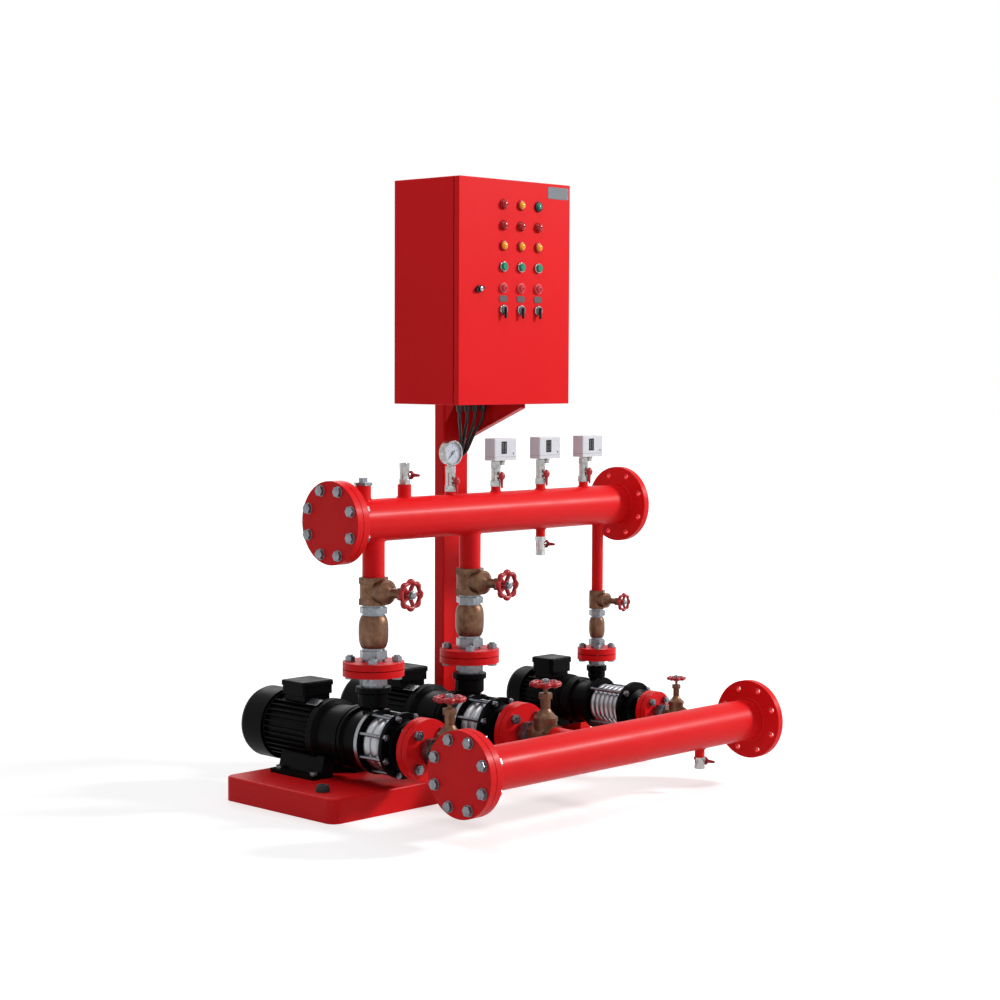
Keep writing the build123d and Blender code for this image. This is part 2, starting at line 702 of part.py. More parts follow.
def motor(x, pump):
    """One motor frame with end shields, feet, terminal box seat and lantern, hollow for its rotor."""
    line = pump_line(pump)
    body = place(finned_frame(pump), (x, line.frame_back, shaft_height), (0, -1, 0))
    foot_z = shaft_height - pump.foot_height
    pad_length = pump.foot_pitch + 36.0
    middle = pump.foot_front + pump.foot_pitch / 2
    for side in (-1, 1):
        outer = pump.foot_spacing / 2 + 18.0
        web = pump.foot_spacing / 2 - 20.0
        top = foot_z + pump.foot_thickness
        shoulder = shaft_height - pump.frame_radius * 0.62
        profile = Polygon((web - 34.0, foot_z), (outer, foot_z), (outer, top), (web + 8.0, top),
                          (web - 4.0, shoulder), (web - 34.0, shoulder), align=None)
        leg = extrude(Plane.XZ * profile, pad_length)
        leg = Pos(0, middle + pad_length / 2, 0) * leg
        if side < 0:
            leg = mirror(leg, about=Plane.YZ)
        body += Pos(x, 0, 0) * leg
    seat_top = pump.frame_radius + pump.fin_height
    body += block(pump.terminal_width - 14.0, pump.terminal_length - 14.0, seat_top,
                  x=x, y=pump.terminal_y, z=shaft_height)
    register = pump.cover_radius - cover_sheet - seat
    body += place(disc(register, cover_overlap), (x, line.frame_back, shaft_height), (0, -1, 0))
    radius = pump.frame_radius + pump.fin_height - 3.0
    low = pump.lantern_radius
    length = pump.lantern_length
    lantern = turned([(0, 0), (radius, 0), (radius, 12.0), (radius * 0.86, 20.0), (low, length * 0.55),
                      (low, length - 14.0), (low + 6.0, length - 14.0), (low + 6.0, length), (0, length)])
    body += place(lantern, (x, line.frame_front, shaft_height), (0, -1, 0))
    for spot_x, spot_y in foot_places(x, pump):
        body -= Pos(spot_x, spot_y, foot_z) * disc(pump.foot_bolt.d / 2 + seat, pump.foot_thickness * 3)
    return body - rotor_room(x, pump)


def bearing_width(pump):
    return pump.shaft_radius * 1.3


def bearing_radius(pump):
    return pump.shaft_radius * 2.1


def rotor_room(x, pump):
    """The hollow of one pump: rotor chamber, bearing seats and shaft passage, with room all round."""
    line = pump_line(pump)
    shaft = pump.shaft_radius + 1.0
    wide = pump.core_radius + 3.0
    width = bearing_width(pump)
    bearing = bearing_radius(pump)
    start = line.frame_back
    front = line.stage_front - pump.suction_length * 0.45
    room = disc(shaft, start - front + 1.0, -1.0)
    room += disc(bearing, width, 2.0)
    room += disc(wide, pump.core_length + 24.0, (pump.frame_length - pump.core_length) / 2 - 12.0)
    room += disc(bearing, width, pump.frame_length - width - 2.0)
    return place(room, (x, start, shaft_height), (0, -1, 0))


def shaft_bearings():
    """The two ball bearings of each motor, as plain rings on the shaft."""
    rings = []
    for x, pump in pumps:
        line = pump_line(pump)
        width = bearing_width(pump)
        ring = pipe(bearing_radius(pump), pump.shaft_radius + running, width)
        for station in (2.0, pump.frame_length - width - 2.0):
            rings.append(place(Pos(0, 0, station) * ring, (x, line.frame_back, shaft_height), (0, -1, 0)))
    return rings


def pump_rotor(x, pump):
    """Shaft with rotor core, cooling fan and one impeller for each stage."""
    line = pump_line(pump)
    behind = pump.cover_length - 30.0
    front = line.stage_front - pump.suction_length * 0.4
    length = line.frame_back + behind - front
    shaft = disc(pump.shaft_radius, length, -behind)
    core_start = (pump.frame_length - pump.core_length) / 2
    core = pipe(pump.core_radius, pump.shaft_radius, pump.core_length, core_start)
    fan = pipe(pump.shaft_radius * 2.2, pump.shaft_radius, 26.0, -behind + 4.0)
    fan += pipe(pump.cover_radius * 0.80, pump.shaft_radius, 2.5, -behind + 4.0)
    for i in range(7):
        blade = block(pump.cover_radius * 0.56, 2.5, 24.0, x=pump.cover_radius * 0.50, z=-behind + 6.0)
        fan += Rot(0, 0, 360.0 / 7 * i) * blade
    pieces = [shaft, core, fan]
    pitch = pump.stage_length / pump.stages
    for i in range(pump.stages):
        station = line.frame_back - line.casing_front + (i + 0.5) * pitch
        pieces.append(pipe(pump.impeller_radius, pump.shaft_radius, pitch * 0.5, station - pitch * 0.25))
    return [place(piece, (x, line.frame_back, shaft_height), (0, -1, 0)) for piece in pieces]


def fan_cover(x, pump):
    """The pressed fan cover: a cup with a ring of slots in its end."""
    line = pump_line(pump)
    radius = pump.cover_radius
    length = pump.cover_length
    wall = cover_sheet
    cup = turned([(0, 0), (radius - 14.0, 0), (radius - 4.0, 4.0), (radius, 14.0), (radius, length),
                  (radius - wall, length), (radius - wall, 15.0), (radius - 6.0, 5.6), (radius - 14.5, wall),
                  (0, wall)])
    slots = 12
    for ring, width in ((0.34, 0.22), (0.62, 0.22)):
        for i in range(slots):
            slot = block(radius * width, 7.0 * ring + 2.0, wall * 2, x=radius * (ring + 0.02), z=-1.0)
            cup -= Rot(0, 0, 360.0 / slots * i) * slot
    return place(cup, (x, pump.fan_end, shaft_height), (0, -1, 0))


def terminal_box(x, pump):
    """The terminal box on top of the motor, with its lid and cable entry."""
    low = shaft_height + pump.frame_radius + pump.fin_height
    box = block(pump.terminal_width, pump.terminal_length, pump.terminal_height * 0.62)
    box = fillet(box.edges().filter_by(Axis.Z), 8.0)
    lid = block(pump.terminal_width + 6.0, pump.terminal_length + 6.0, pump.terminal_height * 0.38)
    lid = fillet(lid.edges().filter_by(Axis.Z), 10.0)
    lid = fillet(lid.faces().sort_by(Axis.Z)[-1].edges(), 5.0)
    side = (pump.terminal_width / 2, 0, pump.terminal_height * 0.3)
    entry = place(hexagon(pump.terminal_height * 0.5, 16.0), side, (1, 0, 0), (0, 1, 0))
    where = Pos(x, pump.terminal_y, low)
    return [where * (box + entry), where * Pos(0, 0, pump.terminal_height * 0.62) * lid]


def pump_casings():
    """Discharge casing with its upright branch, and suction casing with its neck, for each pump."""
    pieces = []
    for x, pump in pumps:
        line = pump_line(pump)
        radius = pump.casing_radius
        length = pump.casing_length
        rim = pump.tie_circle + pump.tie_radius + 3.0
        casing = turned([(0, 0), (radius + 8.0, 0), (radius + 8.0, rim_width), (radius, rim_width + 4.0),
                         (radius, length - rim_width), (rim, length - rim_width), (rim, length), (0, length)])
        casing = place(casing, (x, line.lantern_front, shaft_height), (0, -1, 0))
        waist = pump.branch_radius * 0.86
        high = pump.branch_height
        neck = turned([(0, 0), (pump.branch_root, 0), (pump.branch_root, radius + 6.0),
                       (waist, radius + 18.0), (waist, high - 18.0), (pump.branch_radius, high - 14.0),
                       (pump.branch_radius, high), (0, high)])
        casing += Pos(x, discharge_y, shaft_height) * neck
        socket = disc(pump.pipe_od / 2 + seat, pump.thread_depth)
        casing -= Pos(x, discharge_y, line.branch_top - pump.thread_depth) * socket
        pieces.append(casing - rotor_room(x, pump))
        radius = pump.suction_radius
        length = pump.suction_length
        end = pump.suction_neck_radius
        shoulder = length - pump.suction_neck
        nose = turned([(0, 0), (rim, 0), (rim, rim_width), (radius, rim_width), (radius, length * 0.5),
                       (end + 4.0, shoulder - 6.0), (end, shoulder), (end, length), (0, length)])
        nose -= Pos(0, 0, length - pump.thread_depth) * socket
        for across, up in ring_places(pump.tie_rods, 2 * pump.tie_circle, 180.0 / pump.tie_rods):
            nose -= Pos(across, up) * disc(pump.tie_radius + seat, rim_width)
        nose = place(nose, (x, line.stage_front, shaft_height), (0, -1, 0))
        pieces.append(nose - rotor_room(x, pump))
    return pieces


def stage_casings():
    """The pressed stage rings: one ribbed shell for each stage."""
    rings = []
    for x, pump in pumps:
        line = pump_line(pump)
        pitch = pump.stage_length / pump.stages
        inner = pump.impeller_radius + 3.0
        outer = pump.stage_radius
        for i in range(pump.stages):
            low = outer - 3.0
            shell = turned([(inner, 0), (low, 0), (low, pitch * 0.18), (outer, pitch * 0.30),
                            (outer, pitch * 0.70), (low, pitch * 0.82), (low, pitch), (inner, pitch)])
            rings.append(place(shell, (x, line.casing_front - i * pitch, shaft_height), (0, -1, 0)))
    return rings


def tie_rods():
    """The rods that hold each pump's stages between its two casings."""
    rods = []
    for x, pump in pumps:
        line = pump_line(pump)
        length = pump.stage_length
        for across, up in ring_places(pump.tie_rods, 2 * pump.tie_circle, 180.0 / pump.tie_rods):
            rod = disc(pump.tie_radius, length + rim_width + 12.0)
            rod += hexagon(pump.tie_radius * 3.2, 8.0, length + rim_width)
            rods.append(place(Pos(across, up) * rod, (x, line.casing_front, shaft_height), (0, -1, 0)))
    return rods


def foot_bolts():
    """Bolts of the motor feet and of the post's foot plate."""
    pieces = []
    for x, pump in pumps:
        size = pump.foot_bolt
        foot_z = shaft_height - pump.foot_height
        for spot_x, spot_y in foot_places(x, pump):
            top = foot_z + pump.foot_thickness
            depth = top - base_height + base_sheet
            screw = hexagon(size.across, size.head, top) + disc(size.d / 2, depth, top - depth)
            pieces.append(Pos(spot_x, spot_y) * screw)
    top = base_height + post_foot_thickness
    for side in (-1, 1):
        depth = post_foot_thickness + base_sheet
        screw = hexagon(m12.across, m12.head, top) + disc(m12.d / 2, depth, top - depth)
        pieces.append(Pos(post_x + side * post_bolt_offset(), post_bolt_y()) * screw)
    return pieces


def support_post():
    """The post weldment: box section, foot plate and the two gussets under the cabinet."""
    middle = post_front + post_depth / 2
    outer = block(post_width, post_depth, post_top - base_height, x=post_x, y=middle, z=base_height)
    outer = fillet(outer.edges().filter_by(Axis.Z), post_corner)
    low = base_height + post_foot_thickness
    hollow = block(post_width - 2 * post_wall, post_depth - 2 * post_wall, post_top - post_wall - low,
                   x=post_x, y=middle, z=low)
    foot = block(post_foot_width, post_foot_depth, post_foot_thickness, x=post_x, y=middle, z=base_height)
    post = outer + foot - hollow
    inside = (post_x, post_front + post_wall, grommet_z)
    post -= place(disc(grommet_radius, post_wall + 1.0), inside, (0, -1, 0))
    for side, reach, drop in ((1, gusset_reach, gusset_drop), (-1, small_gusset_reach, small_gusset_drop)):
        x = post_x + side * (post_width / 2 - post_corner - gusset_sheet / 2)
        tip = post_front - reach
        outline = Polygon((post_front, cabinet_bottom), (tip, cabinet_bottom),
                          (tip, cabinet_bottom - gusset_tip), (post_front, cabinet_bottom - drop), align=None)
        plate = extrude(Plane.YZ * outline, gusset_sheet / 2, both=True)
        post += Pos(x, 0, 0) * plate
    x = post_x + post_width / 2 - post_corner - gusset_lip / 2
    tip = post_front - gusset_reach
    tip_z = cabinet_bottom - gusset_tip
    root_z = cabinet_bottom - gusset_drop
    lip = Polygon((post_front, root_z), (tip, tip_z), (tip, tip_z + gusset_sheet),
                  (post_front, root_z + gusset_sheet), align=None)
    post += Pos(x, 0, 0) * extrude(Plane.YZ * lip, gusset_lip / 2, both=True)
    for side in (-1, 1):
        hole = disc(m12.d / 2 + seat, post_foot_thickness)
        post -= Pos(post_x + side * post_bolt_offset(), post_bolt_y(), base_height) * hole
    return post


def grommet():
    """The rubber ring in the cable hole of the post."""
    lip = grommet_radius + 3.0
    ring = turned([(grommet_radius - 5.0, 0), (grommet_radius - seat, 0), (grommet_radius - seat, post_wall),
                   (lip, post_wall), (lip, post_wall + 3.0), (grommet_radius - 5.0, post_wall + 3.0)])
    return place(ring, (post_x, post_front + post_wall, grommet_z), (0, -1, 0))


def cabinet_shell(width, height, low_y, high_y, inset=0.0):
    """A plain block of the cabinet's outline, inset all round, between two depths."""
    return block(width - 2 * inset, high_y - low_y, height - 2 * inset, x=cabinet_x, y=(low_y + high_y) / 2,
                 z=cabinet_bottom + inset)


def cabinet_box():
    """The folded cabinet: walls, back, gutter, collar and its lip, with the riveted hinge pins."""
    sheet = cabinet_sheet
    width, height = cabinet_width, cabinet_height
    shell = cabinet_shell(width, height, box_front, cabinet_back)
    shell = fillet(shell.edges().filter_by(Axis.Y), 3.0)
    shell -= cabinet_shell(width, height, box_front + sheet, cabinet_back - sheet, sheet)
    inner = collar_inset + sheet
    shell -= cabinet_shell(width, height, box_front, box_front + sheet, collar_inset)
    collar_front = box_front - collar_depth
    collar = cabinet_shell(width, height, collar_front, box_front + sheet, collar_inset)
    collar -= cabinet_shell(width, height, collar_front + sheet, box_front + sheet, inner)
    collar -= cabinet_shell(width, height, collar_front, collar_front + sheet, collar_inset + collar_lip)
    shell += collar
    for x in gland_places:
        shell -= Pos(x, gland_y, cabinet_bottom) * disc(gland_radius * 0.6 + seat, sheet)
    collar_x = cabinet_x + width / 2 - collar_inset
    ear_gap = hinge_knuckle_length + 1.0
    for height_up in hinge_heights:
        middle = cabinet_bottom + height_up
        for side in (-1, 1):
            ear = Pos(hinge_x, hinge_y) * disc(hinge_knuckle_radius - 0.5, 4.0)
            ear += block(hinge_x - collar_x, hinge_knuckle_radius - 0.5, 4.0, x=(hinge_x + collar_x) / 2,
                         y=hinge_y - (hinge_knuckle_radius - 0.5) / 2)
            shell += Pos(0, 0, middle + side * (ear_gap / 2 + 2.0) - 2.0) * ear
        shell += Pos(hinge_x, hinge_y) * disc(hinge_pin_radius, ear_gap + 8.0, middle - ear_gap / 2 - 4.0)
    return shell


def device_places():
    """Every device on the door: lamps, start buttons, stop buttons and selectors."""
    return [(x, z) for z in lamp_rows + (start_row, stop_row, selector_row) for x in device_columns]


def cabinet_door():
    """The door pan with its skirt, hinge knuckles and device holes."""
    sheet = cabinet_sheet
    width, height = cabinet_width, cabinet_height
    door = cabinet_shell(width, height, cabinet_front, door_back)
    door = fillet(door.edges().filter_by(Axis.Y), 3.0)
    door = fillet(door.faces().sort_by(Axis.Y)[0].edges(), 1.4)
    door -= cabinet_shell(width, height, cabinet_front + sheet, door_back, sheet)
    for x, z in device_places():
        door -= place(disc(device_hole_radius + seat, sheet + 1.0), (x, cabinet_front + sheet, z), (0, -1, 0))
    door -= place(disc(10.0 + running, sheet + 1.0), (latch_x, cabinet_front + sheet, latch_z), (0, -1, 0))
    for height_up in hinge_heights:
        middle = cabinet_bottom + height_up
        knuckle = disc(hinge_knuckle_radius, hinge_knuckle_length, middle - hinge_knuckle_length / 2)
        door += Pos(hinge_x, hinge_y) * knuckle
        door -= Pos(hinge_x, hinge_y) * disc(hinge_pin_radius + running, hinge_knuckle_length,
                                             middle - hinge_knuckle_length / 2)
    return door


def door_latch():
    """The quarter-turn latch: wing knob, spindle through the door and cam behind the collar's lip."""
    wing = extrude(Ellipse(17.0, 7.0), 8.0) + disc(10.0, 6.0)
    wing += disc(6.5, 3.0, 8.0)
    knob = Pos(0, 0, 0.3) * wing
    spindle = disc(10.0, cabinet_sheet + 6.5, -cabinet_sheet - 6.2)
    cam_low = -(box_front - collar_depth + cabinet_sheet - cabinet_front) - 1.0 - 3.0
    spindle += disc(6.0, -cam_low - 4.0, cam_low)
    cam = block(18.0, 66.0, 3.0, y=24.0, z=cam_low)
    latch = Rot(0, 0, latch_tilt) * (knob + spindle + cam)
    return place(latch, (latch_x, cabinet_front, latch_z), (0, -1, 0), (1, 0, 0))


def lamp():
    """An indicator lamp along Z from the door's face: bezel, domed lens and body behind."""
    deep = -device_depth * 0.8
    return turned([(0, deep), (device_hole_radius, deep), (device_hole_radius, 0), (bezel_radius, 0),
                   (bezel_radius, 4.0), (bezel_radius - 3.0, 6.0), (bezel_radius - 3.0, 9.0),
                   (bezel_radius - 6.5, 13.0), (0, 14.5)])


def actuator(front):
    """The fixed part of a button or selector: bezel, barrel through the door and contact block."""
    inner = button_radius + seat
    guide = button_stem + running
    barrel = turned([(inner, front), (bezel_radius - 1.0, front), (bezel_radius, front - 2.0),
                     (bezel_radius, 0), (device_hole_radius, 0), (device_hole_radius, -12.0),
                     (guide, -12.0), (guide, -9.0), (inner - 3.0, -9.0), (inner - 3.0, 0), (inner, 0)])
    contact = block(26.0, 30.0, device_depth - 12.0, z=-device_depth) - disc(3.5, 12.0, -22.0)
    return barrel + contact


def button_cap():
    """A push button: its cap stands out by more than its travel, and its stem reaches the contact block."""
    low = button_travel + 0.5
    return turned([(0, -14.0), (button_stem, -14.0), (button_stem, low), (button_radius, low),
                   (button_radius, 10.0), (button_radius - 1.5, 11.5), (0, 11.5)])


def selector_knob():
    """A selector: a round base and a raised grip that points to its position."""
    knob = turned([(0, -14.0), (button_stem, -14.0), (button_stem, 0.5), (button_radius, 0.5),
                   (button_radius, 9.0), (0, 9.0)])
    return knob + block(6.0, 2 * button_radius - 1.0, 12.0, z=8.0)


def door_devices():
    """Lamps, fixed bezels and every moving button and selector, on the door."""
    def on_door(shape, x, z):
        return place(shape, (x, cabinet_front, z), (0, -1, 0), (1, 0, 0))
    lamps = [on_door(lamp(), x, z) for z in lamp_rows for x in device_columns]
    rows = (start_row, stop_row, selector_row)
    bezels = [on_door(actuator(6.0), x, z) for z in rows for x in device_columns]
    moving = {}
    for number, x in enumerate(device_columns, 1):
        moving[f"start_button_{number}"] = [on_door(button_cap(), x, start_row)]
        moving[f"stop_button_{number}"] = [on_door(button_cap(), x, stop_row)]
        moving[f"selector_{number}"] = [on_door(selector_knob(), x, selector_row)]
    return lamps, bezels, moving


def switchgear_panel():
    """Mounting plate on four studs, with rails, breaker, contactors, relays and terminals."""
    back = cabinet_back - cabinet_sheet
    plate_y = back - plate_gap - plate_thickness / 2
    face = back - plate_gap - plate_thickness
    width = cabinet_width - 2 * plate_margin
    height = cabinet_height - 2 * plate_margin
    low = cabinet_bottom + plate_margin
    plate = block(width, plate_thickness, height, x=cabinet_x, y=plate_y, z=low)
    for side in (-1, 1):
        for z in (low + 16.0, low + height - 16.0):
            plate += place(disc(6.0, plate_gap), (cabinet_x + side * (width / 2 - 16.0), back, z), (0, -1, 0))
    pieces = [plate]
    rows = ((440.0, 7.5, ((-130.0, 72.0, 84.0, 66.0), (-20.0, 54.0, 84.0, 60.0), (60.0, 54.0, 84.0, 60.0),
                          (132.0, 36.0, 84.0, 60.0))),
            (280.0, 7.5, ((-120.0, 56.0, 86.0, 74.0), (-40.0, 56.0, 86.0, 74.0), (40.0, 56.0, 86.0, 74.0),
                          (120.0, 44.0, 76.0, 62.0))),
            (110.0, 7.5, ((-60.0, 220.0, 44.0, 40.0), (110.0, 84.0, 44.0, 40.0))))
    for up, rail_depth, devices in rows:
        rail = block(width - 40.0, rail_depth, 35.0, x=cabinet_x, y=face - rail_depth / 2, z=low + up - 17.5)
        pieces.append(rail)
        for offset, size_x, size_z, size_y in devices:
            step = block(size_x + 2, size_y * 0.6, size_z * 0.26, y=-size_y * 0.7)
            body = block(size_x, size_y, size_z, z=-size_z / 2)
            body -= Pos(0, 0, size_z * 0.30) * step + Pos(0, 0, -size_z * 0.56) * step
            pieces.append(Pos(cabinet_x + offset, face - rail_depth - size_y / 2, low + up) * body)
    return pieces


def cable_glands():
    """The glands under the cabinet, each clamped through its floor."""
    gland = disc(gland_radius * 0.6, cabinet_sheet) + hexagon(gland_radius * 1.8, 6.0, -6.0)
    dome = gland_radius * 0.8
    gland += turned([(0, -gland_height), (gland_radius * 0.62, -gland_height), (dome, -gland_height + 5.0),
                     (dome, -6.0), (0, -6.0)])
    gland += hexagon(gland_radius * 1.8, 5.0, cabinet_sheet)
    gland -= disc(cable_radius + seat, 2 * gland_height, -gland_height - 1.0)
    return [Pos(x, gland_y, cabinet_bottom) * gland for x in gland_places]


def control_cables():
    """The motor cables from the glands into the post."""
    cables = []
    entries = ((-6.0, 3.0), (-6.0, -8.0), (6.0, 3.0), (6.0, -8.0))
    for x, (side, up) in zip(gland_places, entries):
        end_x = post_x + side
        end_z = grommet_z + up
        start = (x, gland_y, cabinet_bottom)
        points = [start, (x, gland_y, cabinet_bottom - 46.0),
                  (x + (end_x - x) * 0.45, gland_y + 26.0, cabinet_bottom - 84.0),
                  (end_x - (end_x - x) * 0.05, post_front - 30.0, end_z + 4.0),
                  (end_x, post_front + 18.0, end_z)]
        radii = []
        for before, here, after in zip(points, points[1:], points[2:]):
            run_in = Vector(*here) - Vector(*before)
            run_out = Vector(*after) - Vector(*here)
            half_turn = radians(run_in.get_angle(run_out) / 2)
            radii.append(0.45 * min(run_in.length, run_out.length) / tan(half_turn))
        print("cable arcs", [round(radius) for radius in radii])
        route = FilletPolyline(*points, radius=radii)
        circle = Plane(origin=start, z_dir=(0, 0, -1)) * Circle(cable_radius)
        cables.append(sweep(circle, path=route))
    return cables


def base_stop():
    """The round rubber stop that stands on the base."""
    hole = stop_radius * 0.35
    floor = stop_height * 0.5
    body = turned([(0, 0), (stop_radius, 0), (stop_radius, floor), (stop_radius * 0.8, stop_height),
                   (hole, stop_height), (hole, floor), (0, floor)])
    return Pos(stop_inset_x - base_length / 2, stop_inset_y - base_depth / 2, base_height) * body


def build():
    """Writes every node."""
    os.makedirs("parts", exist_ok=True)
    save("base_frame", base_frame())
    save("base_stop", [base_stop()])
    save("support_post", [support_post()])
    suction, discharge, arms = headers()
    save("suction_header", [suction])
    save("discharge_header", [discharge])
    save("header_branches", arms)
    flanges, blinds, gaskets, bolts = header_flanges()
    save("header_flanges", flanges)
    save("blind_flanges", blinds)
    pump_flanges, pump_gaskets, pump_bolts = pump_flange_sets()
    save("pump_flanges", pump_flanges)
    save("flange_gaskets", gaskets + pump_gaskets)
    save("flange_bolts", bolts + pump_bolts)
    save("pipe_nipples", pipe_nipples())
    bodies, bonnets, checks, wheels = line_valves()
    save("gate_valve_bodies", bodies)
    save("valve_bonnets", bonnets)
    save("check_valve_bodies", checks)
    small_bodies, levers = small_valves()
    save("ball_valve_bodies", small_bodies)
    case, needle = gauge()
    save("gauge_case", case)
    save("gauge_needle", needle)
    save("pressure_switches", pressure_switches())
    save("motor_housings", [motor(x, pump) for x, pump in pumps])
    save("fan_covers", [fan_cover(x, pump) for x, pump in pumps])
    save("terminal_boxes", [piece for x, pump in pumps for piece in terminal_box(x, pump)])
    save("pump_casings", pump_casings())
    save("stage_casings", stage_casings())
    save("tie_rods", tie_rods())
    save("shaft_bearings", shaft_bearings())
    save("foot_bolts", foot_bolts())
    save("cabinet_box", [cabinet_box()])
    save("cabinet_door", [cabinet_door()])
    save("door_latch", [door_latch()])
    save("switchgear_panel", switchgear_panel())
    save("cable_glands", cable_glands() + [grommet()])
    save("control_cables", control_cables())
    lamps, bezels, moving = door_devices()
    save("door_lamps", lamps)
    save("button_bezels", bezels)
    for number, (x, pump) in enumerate(pumps, 1):
        save(f"pump_rotor_{number}", pump_rotor(x, pump))
    for name, pieces in {**wheels, **levers, **moving}.items():
        save(name, pieces)


build()
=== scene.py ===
# %% [markdown]
# A fire pump set dressed in Blender. The shapes come from a imported CAD model, in metres, and stay
# where they are: this lesson gives them finishes, and replaces or adds the small forms that a render
# needs and a collision model does not. The frame is loaded first.

import math
import bmesh
import bpy
from mathutils import Matrix, Vector


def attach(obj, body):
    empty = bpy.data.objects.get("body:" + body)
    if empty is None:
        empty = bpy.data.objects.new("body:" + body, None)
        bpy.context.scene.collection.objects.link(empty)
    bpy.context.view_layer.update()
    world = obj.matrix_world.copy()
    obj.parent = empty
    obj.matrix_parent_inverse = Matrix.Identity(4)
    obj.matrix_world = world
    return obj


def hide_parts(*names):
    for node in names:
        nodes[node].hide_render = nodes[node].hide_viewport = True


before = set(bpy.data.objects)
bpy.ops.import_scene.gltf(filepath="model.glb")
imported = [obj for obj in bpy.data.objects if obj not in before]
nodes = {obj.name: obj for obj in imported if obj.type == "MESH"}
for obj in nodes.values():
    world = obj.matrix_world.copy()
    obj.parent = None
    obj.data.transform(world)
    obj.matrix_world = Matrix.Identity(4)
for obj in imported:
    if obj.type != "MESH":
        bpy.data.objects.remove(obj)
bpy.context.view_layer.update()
scene = bpy.context.scene
mm = 0.001

# %% [markdown]
# The camera stands at the height of a person's chest, a good four metres away, and looks at the
# near corner of the set. A long lens keeps the uprights almost parallel. Its place was worked out
# once from known sizes, so it is written down as numbers.

# %% Camera
yaw, pitch, roll = (math.radians(angle) for angle in (-45.85478, -3.74594, 0.25097))
forward = Vector((-math.sin(yaw) * math.cos(pitch), math.cos(yaw) * math.cos(pitch), math.sin(pitch)))
across = Vector((math.cos(yaw), math.sin(yaw), 0))
upward = across.cross(forward)
right = math.cos(roll) * across + math.sin(roll) * upward
above = math.cos(roll) * upward - math.sin(roll) * across
camera_data = bpy.data.cameras.new("camera")
camera_data.lens = 74.836
camera_data.sensor_width = 36.0
camera_place = (-4.110566, -4.189472, 1.181422)
camera = bpy.data.objects.new("camera", camera_data)
turn = Matrix((right, above, -forward)).transposed().to_4x4()
camera.matrix_world = Matrix.Translation(camera_place) @ turn
scene.collection.objects.link(camera)
scene.camera = camera
print("camera looks along", [round(v, 3) for v in forward])

# %% [markdown]
# Light in a product studio is wide and soft. Here one panel hangs high and nine metres away, to the
# right in front, so that the base gets as much of it as the cabinet does. The faces towards the
# suction header are bright, the end faces fall into shade, and each header throws a soft shadow on
# what is behind it. Weak panels above and behind draw the edges. Sizes are metres, powers are watts.

# %% Lights
def panel(name, where, aim, size, power):
    """A square area light at where that faces aim."""
    data = bpy.data.lights.new(name, "AREA")
    data.size = size
    data.energy = power
    lamp = bpy.data.objects.new(name, data)
    lamp.location = where
    lamp.rotation_euler = (Vector(aim) - Vector(where)).to_track_quat("-Z", "Y").to_euler()
    scene.collection.objects.link(lamp)


panel("key_panel", (6.2, -5.4, 4.6), (0.0, -0.2, 0.6), 1.2, 640)
panel("top_panel", (-0.8, -0.6, 4.2), (0.0, -0.3, 0.5), 1.6, 36)
panel("rear_panel", (1.6, 3.2, 3.0), (0.0, 0.0, 0.9), 2.0, 40)
scene.view_settings.view_transform = "Standard"

# %% [markdown]
# Colours are written as sRGB hex codes, as a colour picker shows them, and one function turns them
# into the linear numbers that a shader wants. A second function adds any node with its settings and
# links in one line. The third is a switch used for the world, the floor and the gauge's glass: it
# tells rays that are seen from rays that only carry light.

# %% Colours and nodes
def linear(code):
    """An sRGB hex colour as the linear numbers that a shader takes."""
    parts = [int(code[i:i + 2], 16) / 255 for i in (1, 3, 5)]
    return [c / 12.92 if c <= 0.04045 else ((c + 0.055) / 1.055) ** 2.4 for c in parts] + [1.0]


def add(tree, kind, settings=(), links=()):
    """Adds one shader node, with its settings by property or socket, and links into its sockets."""
    node = tree.nodes.new("ShaderNode" + kind)
    for key, value in dict(settings).items():
        if isinstance(key, str) and hasattr(node, key):
            setattr(node, key, value)
        else:
            node.inputs[key].default_value = value
    for key, socket in dict(links).items():
        tree.links.new(socket, node.inputs[key])
    return node


def seen_rays(tree):
    """A socket that is 1 on rays from the camera, a gloss or a clear body, and 0 on light rays."""
    path = add(tree, "LightPath")
    first = add(tree, "Math", {"operation": "MAXIMUM"},
                {0: path.outputs["Is Camera Ray"], 1: path.outputs["Is Glossy Ray"]})
    return add(tree, "Math", {"operation": "MAXIMUM"},
               {0: first.outputs[0], 1: path.outputs["Is Transmission Ray"]}).outputs[0]


print("mid grey is", round(linear("#808080")[0], 3), "in linear light")

# %% [markdown]
# The world is pure white wherever the camera, a mirror-like surface or clear glass looks at it, and a
# soft grey as a light. A white world that also lit the set would wash out its reds.

# %% White world
world = bpy.data.worlds.new("studio")
scene.world = world
world.use_nodes = True
tree = world.node_tree
tree.nodes.clear()
ambient_strength = 0.33
ambient = add(tree, "Background", {"Color": linear("#F2F4F8"), "Strength": ambient_strength})
white = add(tree, "Background", {"Color": linear("#FFFFFF"), "Strength": 1.0})
both = add(tree, "MixShader", (), {0: seen_rays(tree), 1: ambient.outputs[0], 2: white.outputs[0]})
add(tree, "OutputWorld", (), {"Surface": both.outputs[0]})
print("ambient light", ambient_strength)

# %% [markdown]
# The floor is matt paint that catches the soft shadows. Away from the set it glows a little more for
# the rays that are seen, so that it runs into the white of the world without an edge.

